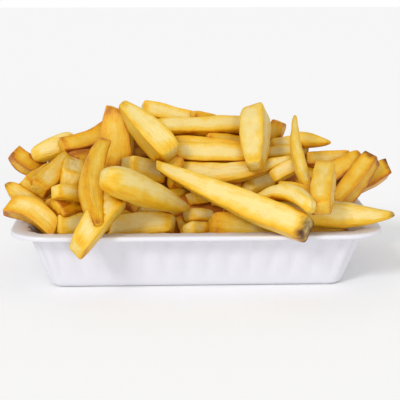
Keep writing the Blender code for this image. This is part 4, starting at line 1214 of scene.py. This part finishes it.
class FryKind:
    """One cut of fry, modelled once as a bar that every fry of that cut is shaped from."""

    # The share that the solid fries have cut off their edges
    EDGE_OF_SOLID = 0.14
    # A fry is laid thicker than it is seen, and shaped thicker again for what rounding takes off
    FATTER = 1.18
    FULLER = 1.1
    HALF_BAR = 3.0
    HALF_SECTION = 0.5
    RINGS = 14
    LAST_RING = 2.45
    MOST_END = 0.3
    ROUNDING = {Cut.SQUARE: 0.10, Cut.SOFT: 0.16, Cut.ROUND: 0.27, Cut.SLIM: 0.19}
    SUNKEN = {Cut.SQUARE: 0.07, Cut.SOFT: 0.04, Cut.ROUND: -0.03, Cut.SLIM: 0.02}
    SUNKEN_MORE = (-0.02, 0.03)
    # How far ends are aslant as a share of the thickness, how far past the laid end they may
    # reach as a share of the length, and how far a fry twists in degrees
    SLANT = 0.1
    OVERSHOOT = 0.1
    TWIST = 7
    # Swells along the fry: their pace in radians a millimetre, and the size and count of those
    # of the thickness, of the sides and of the front
    PACE = (0.06, 0.24)
    THICKNESS_WAVES = (0.02, 3)
    SIDE_WAVES = (0.18, 2)
    FRONT_WAVES = (0.15, 2)
    # Lumps that run round the fry as well, by how often each goes round
    LUMP = 0.11
    LUMP_TURNS = (1, 2, 2, 3)
    LUMP_PACE = (0.15, 0.7)
    # How far from its ends a fry is golden and burnt, and how much of the look is gold; the gold
    # on faces turned down, from what downward share up to what most, is painted shade
    GOLDEN_ZONE = 5.0
    BURNT_ZONE = 7.0
    GOLD_SPREAD = 0.06
    TIP_GOLD = 0.18
    UNDERSIDE_PAINTED_SHADE = 1.1
    UNDERSIDE = (0.2, 0.6)
    SHIFT = 900

    def __init__(self, cut: Cut, draw: random.Random) -> None:
        """Model the bar and note the place of its points."""
        self.cut = cut
        self.draw = draw
        self.bar = self.model_bar()
        places = np.array([vertex.co[:] for vertex in self.bar.data.vertices])
        halves = (self.HALF_BAR, self.HALF_SECTION, self.HALF_SECTION)
        self.places = places / np.abs(places).max(axis=0) * halves
        self.copies: list[bpy.types.Object] = []

    def model_bar(self) -> bpy.types.Object:
        """Model the bar: a block drawn out long, with its edges rounded, cut into rings."""
        bpy.ops.mesh.primitive_cube_add(size=1.0)
        bar = bpy.context.active_object
        bar.name = f"bar_{self.cut.value}"
        open_mesh(bar)
        bpy.ops.transform.resize(value=(2 * self.HALF_BAR, 1, 1), center_override=(0, 0, 0))
        bpy.ops.mesh.bevel(offset=self.ROUNDING[self.cut], segments=2, affect="EDGES")
        stations = np.linspace(-self.LAST_RING, self.LAST_RING, self.RINGS)
        planes = [((station, 0, 0), (1, 0, 0)) for station in stations]
        planes += [((0, 0, 0), (0, 1, 0)), ((0, 0, 0), (0, 0, 1))]
        for place, way in planes:
            bpy.ops.mesh.select_all(action="SELECT")
            bpy.ops.mesh.bisect(plane_co=place, plane_no=way)
        bpy.ops.object.mode_set(mode="OBJECT")
        finer = bar.modifiers.new("finer", "SUBSURF")
        finer.levels = finer.render_levels = 1
        bpy.ops.object.modifier_apply(modifier=finer.name)
        bpy.ops.object.shade_smooth()
        return bar

    def lengthwise(self, fry: Fry) -> np.ndarray:
        """Return how far along the fry each point lies, with ends as round as the sides."""
        length = fry.length()
        end_zone = min(self.HALF_SECTION * fry.width, self.MOST_END * length)
        from_end = self.HALF_BAR - np.abs(self.places[:, 0])
        near = np.minimum(from_end, self.HALF_SECTION) / self.HALF_SECTION * end_zone
        stretch = (length / 2 - end_zone) / (self.HALF_BAR - self.HALF_SECTION)
        away = near + np.maximum(from_end - self.HALF_SECTION, 0) * stretch
        return np.where(self.places[:, 0] < 0, away, length - away)

    def waves(self, along: np.ndarray, size: float, count: int) -> np.ndarray:
        """Return slow uneven swells along a fry, drawn anew at each call."""
        total = np.zeros(len(along))
        for _ in range(count):
            pace, phase = self.draw.uniform(*self.PACE), self.draw.uniform(0, 2 * math.pi)
            total += np.sin(pace * along + phase)
        return total * size / math.sqrt(count)

    def shaped(self, fry: Fry) -> tuple[np.ndarray, np.ndarray, np.ndarray]:
        """Shape the bar into one fry.

        Args:
            fry: The fry.

        Returns:
            Its points, their own places along, across and out of it, and its share of edge.
        """
        y, z = self.places[:, 1] * self.FULLER, self.places[:, 2] * self.FULLER
        along = self.lengthwise(fry)
        length = fry.length()
        ends = np.abs(2 * along / length - 1) ** 4
        slant, tilt = (np.where(along < length / 2, self.draw.gauss(0, self.SLANT),
                                self.draw.gauss(0, self.SLANT)) for _ in range(2))
        along = along + ends * fry.width * (slant * y + tilt * z)
        sunken = self.SUNKEN[self.cut] + self.draw.uniform(*self.SUNKEN_MORE)
        across = y * (1 - sunken * (1 - (2 * z) ** 2) * (2 * np.abs(y)) ** 4)
        out = z * (1 - sunken * (1 - (2 * y) ** 2) * (2 * np.abs(z)) ** 4)
        across = across * (1 + self.waves(along, *self.THICKNESS_WAVES))
        out = out * (1 + self.waves(along, *self.THICKNESS_WAVES))
        twist = math.radians(self.draw.gauss(0, self.TWIST)) * (along / length - 0.5)
        turned = (across * np.cos(twist) - out * np.sin(twist),
                  across * np.sin(twist) + out * np.cos(twist))
        points = fry.surface(np.clip(along / length, -self.OVERSHOOT, 1 + self.OVERSHOOT), *turned)
        points += np.outer(self.waves(along, *self.SIDE_WAVES), fry.side)
        points += np.outer(self.waves(along, *self.FRONT_WAVES), fry.front)
        angle = np.arctan2(z, y)
        lump = np.zeros(len(y))
        for turns in self.LUMP_TURNS:
            pace, phase = self.draw.uniform(*self.LUMP_PACE), self.draw.uniform(0, 2 * math.pi)
            lump += np.sin(pace * along + turns * angle + phase)
        outward = np.outer(y, fry.side) + np.outer(z, fry.front)
        points += outward * (self.LUMP * lump)[:, None]
        own_place = np.stack((along, fry.width * y, fry.height * z), -1)
        edge = (4 * np.abs(y * z)) ** 2
        from_end = self.HALF_BAR - np.abs(self.places[:, 0])
        in_end = np.clip(1 - from_end / self.HALF_SECTION, 0, 1)
        rim = in_end * np.maximum(2 * np.abs(y), 2 * np.abs(z)) ** 6
        return points, own_place, np.clip(np.maximum(edge, rim), 0, 1)

    def look(self, fry: Fry, reach: np.ndarray, edge: np.ndarray) -> np.ndarray:
        """Work out how fried each point of a fry looks, with painted shade on its faces turned
        down.

        Args:
            fry: The fry.
            reach: How far along it each point lies.
            edge: How much each point is edge.

        Returns:
            The shares of edge, gold, brown and burnt of each point.
        """
        gold, brown = fry.tone.value
        from_ends = (reach, fry.length() - reach)
        tip = np.clip(1 - np.minimum(*from_ends) / self.GOLDEN_ZONE, 0, 1)
        burnt = sum(share * np.clip(1 - distance / self.BURNT_ZONE, 0, 1)
                    for share, distance in zip(fry.burnt, from_ends))
        _, y, z = self.places.T
        # Faces turned down get more gold: painted shade on the undersides
        down = -(np.outer(y, fry.side) + np.outer(z, fry.front))[:, 2]
        start, most = self.UNDERSIDE
        gold = (gold + self.draw.uniform(-self.GOLD_SPREAD, self.GOLD_SPREAD)
                + self.TIP_GOLD * tip + self.UNDERSIDE_PAINTED_SHADE * np.clip(down + start, 0, most))
        browned = np.full(len(edge), brown)
        return np.stack((edge, np.clip(gold, 0, 1), browned, np.clip(burnt, 0, 1)), -1)

    def add(self, fry: Fry) -> None:
        """Copy the bar and shape the copy into a fry."""
        points, own_place, edge = self.shaped(fry)
        thing = self.bar.copy()
        thing.data = self.bar.data.copy()
        bpy.context.scene.collection.objects.link(thing)
        thing.data.vertices.foreach_set("co", (points * METRES).ravel())
        axis = unit(fry.ends[1] - fry.ends[0])
        if np.dot(np.cross(axis, fry.side), fry.front) < 0:
            thing.data.flip_normals()
        look = self.look(fry, own_place[:, 0], edge)
        shift = np.array([self.draw.uniform(0, self.SHIFT) for _ in range(3)])
        write_attribute(thing, "own_place", "FLOAT_VECTOR", own_place + shift)
        write_attribute(thing, "look", "FLOAT_COLOR", look)
        self.copies.append(thing)

    def join(self) -> bpy.types.Object:
        """Join every fry of this cut into one piece and remove the bar."""
        select_only(self.copies)
        bpy.ops.object.join()
        piece = bpy.context.active_object
        piece.name = f"fries_{self.cut.value}"
        piece.data.name = piece.name
        bpy.data.objects.remove(self.bar)
        return piece


class FryHeap:
    """The heap as it shows: every fry, one piece for each cut."""

    SEED = 7
    # How far from a fry others darken it with painted shade, how far off the surface that is felt
    # from as a share of it, and how slanting the outer of the five directions are
    REACH = 7.0
    LIFT = 0.02
    TILT = 0.8

    def __init__(self, fries: Sequence[Fry]) -> None:
        """Model every fry."""
        draw = random.Random(self.SEED)
        kinds = {cut: FryKind(cut, draw) for cut in Cut}
        for fry in fries:
            kinds[fry.cut].add(fry)
        self.pieces = [kind.join() for kind in kinds.values()]

    def paint_crease_shade(self, solids: Sequence[bpy.types.Object]) -> None:
        """Write to each point how closely other surfaces stand in front of it, as painted crease
        shade.

        Args:
            solids: Every piece that can stand in front.
        """
        points, faces = [], []
        for solid in solids:
            first = len(points)
            points += [vertex.co.copy() for vertex in solid.data.vertices]
            faces += [[first + number for number in face.vertices] for face in solid.data.polygons]
        tree = BVHTree.FromPolygons(points, faces)
        reach = self.REACH * METRES
        for piece in self.pieces:
            near = []
            for vertex in piece.data.vertices:
                normal = vertex.normal
                aside = normal.orthogonal().normalized() * self.TILT
                other = normal.cross(aside)
                start = vertex.co + normal * (reach * self.LIFT)
                ways = (normal, normal + aside, normal - aside, normal + other, normal - other)
                total = 0.0
                for way in ways:
                    distance = tree.ray_cast(start, way.normalized(), reach)[3]
                    total += 1 - distance / reach if distance is not None else 0.0
                near.append(total / len(ways))
            # near is painted shade: how closely other surfaces stand in front of each point
            write_attribute(piece, "near", "FLOAT", near)


def linear(hex_colour: str) -> tuple[float, float, float, float]:
    """Turn a hex sRGB colour to linear."""
    shares = [int(hex_colour[place:place + 2], 16) / 255 for place in (1, 3, 5)]
    red, green, blue = (share / 12.92 if share <= 0.04045 else ((share + 0.055) / 1.055) ** 2.4
                        for share in shares)
    return red, green, blue, 1.0


def fill_inputs(tree: bpy.types.NodeTree, node: bpy.types.Node,
                links: dict[str | int, object]) -> None:
    """Link each input of a node to another node's output, or set it to a value."""
    for name, value in links.items():
        if isinstance(value, bpy.types.NodeSocket):
            tree.links.new(value, node.inputs[name])
        else:
            node.inputs[name].default_value = value


def add_node(tree: bpy.types.NodeTree, kind: str, links: dict[str | int, object],
             **settings: object) -> bpy.types.Node:
    """Add a node to a material.

    Args:
        tree: The material's nodes.
        kind: The type of the new node.
        links: What goes into its inputs: another node's output, or a value.
        settings: The node's own settings.

    Returns:
        The new node.
    """
    node = tree.nodes.new(kind)
    for name, value in settings.items():
        setattr(node, name, value)
    fill_inputs(tree, node, links)
    return node


def new_material(name: str,
                 inputs: dict[str, object]) -> tuple[bpy.types.Material, bpy.types.Node]:
    """Make a material.

    Args:
        name: Its name.
        inputs: The values of its shader's inputs.

    Returns:
        The material and its shader.
    """
    material = bpy.data.materials.new(name)
    material.use_nodes = True
    shader = material.node_tree.nodes["Principled BSDF"]
    fill_inputs(material.node_tree, shader, inputs)
    return material, shader


@dataclass(frozen=True)
class FriedPotato:
    """Potato cut into bars and fried in oil, with a pale dry skin that browns at its edges.

    Streaks of the cut run along each fry, with pores and patches over them. Where fries touch,
    and on faces turned down, the skin is painted deeper orange as shade. The eye sees pale dry
    faces with golden edges and deep orange gaps, which are partly painted shade. palest is where
    the sum of all that darkens the skin starts on the ramp.
    """

    ramp: tuple[tuple[float, str], ...] = (
        (0.0, "#EAD286"),
        (0.25, "#E8C14A"),
        (0.5, "#E5B21C"),
        (0.75, "#DC9A08"),
        (1.0, "#B26604"),
    )
    brown: str = "#94531A"
    burnt: str = "#5A2D08"
    streak_length: float = 11.0
    streak_width: float = 2.2
    patch: float = 6.0
    pore: float = 0.7
    streak_depth: float = 1.4
    pore_depth: float = 0.4
    palest: float = -0.81

    def build(self) -> bpy.types.Material:
        """Make the material."""
        material, shader = new_material("fried_potato_skin", {
            "Roughness": 0.46, "Specular IOR Level": 0.3,
            "Coat Weight": 0.06, "Coat Roughness": 0.3,
            "Subsurface Weight": 0.15, "Subsurface Radius": (1.0, 0.5, 0.12),
            "Subsurface Scale": 2.0 * METRES})
        tree = material.node_tree
        place, look, near = (add_node(tree, "ShaderNodeAttribute", {}, attribute_name=name)
                             for name in ("own_place", "look", "near"))
        parts = add_node(tree, "ShaderNodeSeparateColor", {"Color": look.outputs["Color"]})
        stretch = (1 / self.streak_length, 1 / self.streak_width, 1 / self.streak_width)
        along = add_node(tree, "ShaderNodeVectorMath", {0: place.outputs["Vector"], 1: stretch},
                         operation="MULTIPLY")
        textures = ((along, 1.0, 4.0, 0.62), (place, self.patch, 3.0, 0.55),
                    (place, self.pore, 2.0, 0.6))
        streaks, patches, pores = (
            add_node(tree, "ShaderNodeTexNoise", {
                "Vector": vector.outputs["Vector"], "Scale": 1 / size, "Detail": detail,
                "Roughness": roughness}).outputs["Fac"]
            for vector, size, detail, roughness in textures)
        # What darkens the skin, and how much: gold (on faces turned down it is painted shade),
        # edges, painted shade where fries stand close by, and the three textures
        fried = self.palest
        for source, weight in ((parts.outputs["Green"], 0.62), (parts.outputs["Red"], 0.48),
                               (near.outputs["Fac"], 0.85), (streaks, 0.56), (patches, 0.6),
                               (pores, 0.3)):
            fried = add_node(tree, "ShaderNodeMath", {0: source, 1: weight, 2: fried},
                             operation="MULTIPLY_ADD").outputs["Value"]
        skin = add_node(tree, "ShaderNodeValToRGB", {"Fac": fried})
        stops = skin.color_ramp.elements
        while len(stops) < len(self.ramp):
            stops.new(0.5)
        for stop, (position, shade) in zip(stops, self.ramp):
            stop.position = position
            stop.color = linear(shade)
        # Brown faces and burnt tips, both in patches: how strong, from what share, and the colour
        colour = skin.outputs["Color"]
        for source, gain, start, shade in ((parts.outputs["Blue"], 1.0, 0.0, self.brown),
                                           (look.outputs["Alpha"], 5.0, -0.6, self.burnt)):
            patchy = add_node(tree, "ShaderNodeMath", {0: source, 1: patches},
                              operation="MULTIPLY").outputs["Value"]
            share = add_node(tree, "ShaderNodeMath", {0: patchy, 1: gain, 2: start},
                             operation="MULTIPLY_ADD", use_clamp=True).outputs["Value"]
            colour = add_node(tree, "ShaderNodeMix", {"Factor": share, 6: colour, 7: linear(shade)},
                              data_type="RGBA").outputs[2]
        normal = {}
        for height, strength, depth in ((pores, 0.35, self.pore_depth),
                                        (streaks, 0.7, self.streak_depth)):
            bump = add_node(tree, "ShaderNodeBump", {
                "Height": height, "Strength": strength, "Distance": depth * METRES, **normal})
            normal = {"Normal": bump.outputs["Normal"]}
        fill_inputs(tree, shader, {"Base Color": colour, **normal})
        return material


@dataclass(frozen=True)
class MouldedPolystyrene:
    """White polystyrene sheet formed over a mould, smooth, which the eye sees as a soft sheen."""

    colour: str = "#D9D8DE"
    roughness: float = 0.34
    refraction: float = 1.55

    def build(self) -> bpy.types.Material:
        """Make the material."""
        return new_material("moulded_white_polystyrene", {
            "Base Color": linear(self.colour), "Roughness": self.roughness,
            "IOR": self.refraction})[0]


@dataclass(frozen=True)
class PaintedShadePotato:
    """Fried potato in the heart of the heap, coloured deep orange as painted shade, which the eye
    sees as dark gaps.
    """

    # A deep orange for the hidden fries: painted shade in the gaps
    colour: str = "#B4660A"
    roughness: float = 0.7

    def build(self) -> bpy.types.Material:
        """Make the material."""
        return new_material("fried_potato_painted_shade", {
            "Base Color": linear(self.colour), "Roughness": self.roughness})[0]


@dataclass(frozen=True)
class MattPaper:
    """White paper that is rolled out under the tray, with no sheen."""

    colour: str = "#FFFFFF"
    roughness: float = 0.9

    def build(self) -> bpy.types.Material:
        """Make the material."""
        return new_material("matt_white_paper", {
            "Base Color": linear(self.colour), "Roughness": self.roughness})[0]


class Studio:
    """A white floor, two broad lights and even light from all round, and the camera."""

    FLOOR_SIZE = 6.0
    SENSOR = 36.0
    # Where each light comes from, and how strong it is
    LIGHTS = {"key": ((-0.65, -1.0, 0.7), 1.3), "fill": ((0.2, -1.0, 0.15), 0.6)}
    LIGHT_WIDTH = math.radians(14.0)
    ROOM_LIGHT = 0.7

    def __init__(self, eye: Eye) -> None:
        """Set the stage."""
        self.add_floor()
        for name, (place, strength) in self.LIGHTS.items():
            self.add_light(name, place, strength)
        self.set_world()
        self.add_camera(eye)

    def add_floor(self) -> None:
        """Add the floor."""
        bpy.ops.mesh.primitive_plane_add(size=self.FLOOR_SIZE)
        floor = bpy.context.active_object
        floor.name = "studio_floor"
        floor.data.materials.append(MattPaper().build())

    def add_light(self, name: str, place: Sequence[float], strength: float) -> None:
        """Add a soft light that shines from far away beyond a place."""
        data = bpy.data.lights.new(name, "SUN")
        data.angle = self.LIGHT_WIDTH
        data.energy = strength
        light = bpy.data.objects.new(name, data)
        light.location = place
        light.rotation_euler = light.location.to_track_quat("Z", "Y").to_euler()
        bpy.context.scene.collection.objects.link(light)

    def set_world(self) -> None:
        """Light the scene evenly from all round, and show the ground behind as pure white."""
        world = bpy.data.worlds.new("white_room")
        world.use_nodes = True
        tree = world.node_tree
        seen = add_node(tree, "ShaderNodeLightPath", {}).outputs["Is Camera Ray"]
        strength = add_node(tree, "ShaderNodeMath", {
            0: seen, 1: 1.0 - self.ROOM_LIGHT, 2: self.ROOM_LIGHT}, operation="MULTIPLY_ADD")
        fill_inputs(tree, tree.nodes["Background"], {
            "Color": (1.0, 1.0, 1.0, 1.0), "Strength": strength.outputs["Value"]})
        bpy.context.scene.world = world
        bpy.context.scene.view_settings.view_transform = "Standard"

    def add_camera(self, eye: Eye) -> None:
        """Add the camera at the point that the front was laid out from."""
        data = bpy.data.cameras.new("camera")
        data.sensor_width = self.SENSOR
        data.lens = self.SENSOR * eye.focal_length / eye.picture_size
        camera = bpy.data.objects.new("camera", data)
        turn = Matrix((eye.right, eye.upward, -eye.forward)).transposed().to_4x4()
        camera.matrix_world = Matrix.Translation(Vector(eye.place) * METRES) @ turn
        bpy.context.scene.collection.objects.link(camera)
        bpy.context.scene.camera = camera


class FrenchFries:
    """The portion: the tray, the core of the heap and its fries."""

    def __init__(self) -> None:
        """Model and finish every piece."""
        shape, form, self.eye = TrayShape(), HeapForm(), Eye()
        layout = HeapLayout(shape, form, self.eye)
        layout.lay_front(SEEN_FRIES)
        layout.lay_the_rest()
        layout.prop_up()
        layout.settle()
        log.info("%d fries laid", len(layout.fries))
        self.tray = TrayShell(shape).piece
        self.core = HeapCore(shape, form).piece
        heap = FryHeap(layout.fries)
        heap.paint_crease_shade([*heap.pieces, self.core])
        self.fries = heap.pieces

    def finish(self) -> None:
        """Give each piece its finish, its body and the solid that it stands for."""
        self.declare(self.tray, MouldedPolystyrene().build(), "tray", "tray_plastic")
        self.declare(self.core, PaintedShadePotato().build(), "fries", "fried_potato")
        skin = FriedPotato().build()
        for piece in self.fries:
            self.declare(piece, skin, "fries", "fried_potato")

    @staticmethod
    def declare(piece: bpy.types.Object, material: bpy.types.Material, node: str,
                slot: str) -> None:
        """Finish one piece, attach it to its body and hide the solid that it stands for."""
        piece.data.materials.clear()
        piece.data.materials.append(material)
        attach(piece, BODY)
        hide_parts(node)


def main() -> None:
    """Build the portion and its stage."""
    logging.basicConfig(level=logging.INFO, format="%(name)s: %(message)s")
    portion = FrenchFries()
    portion.finish()
    Studio(portion.eye)


if __name__ == "__main__":
    main()
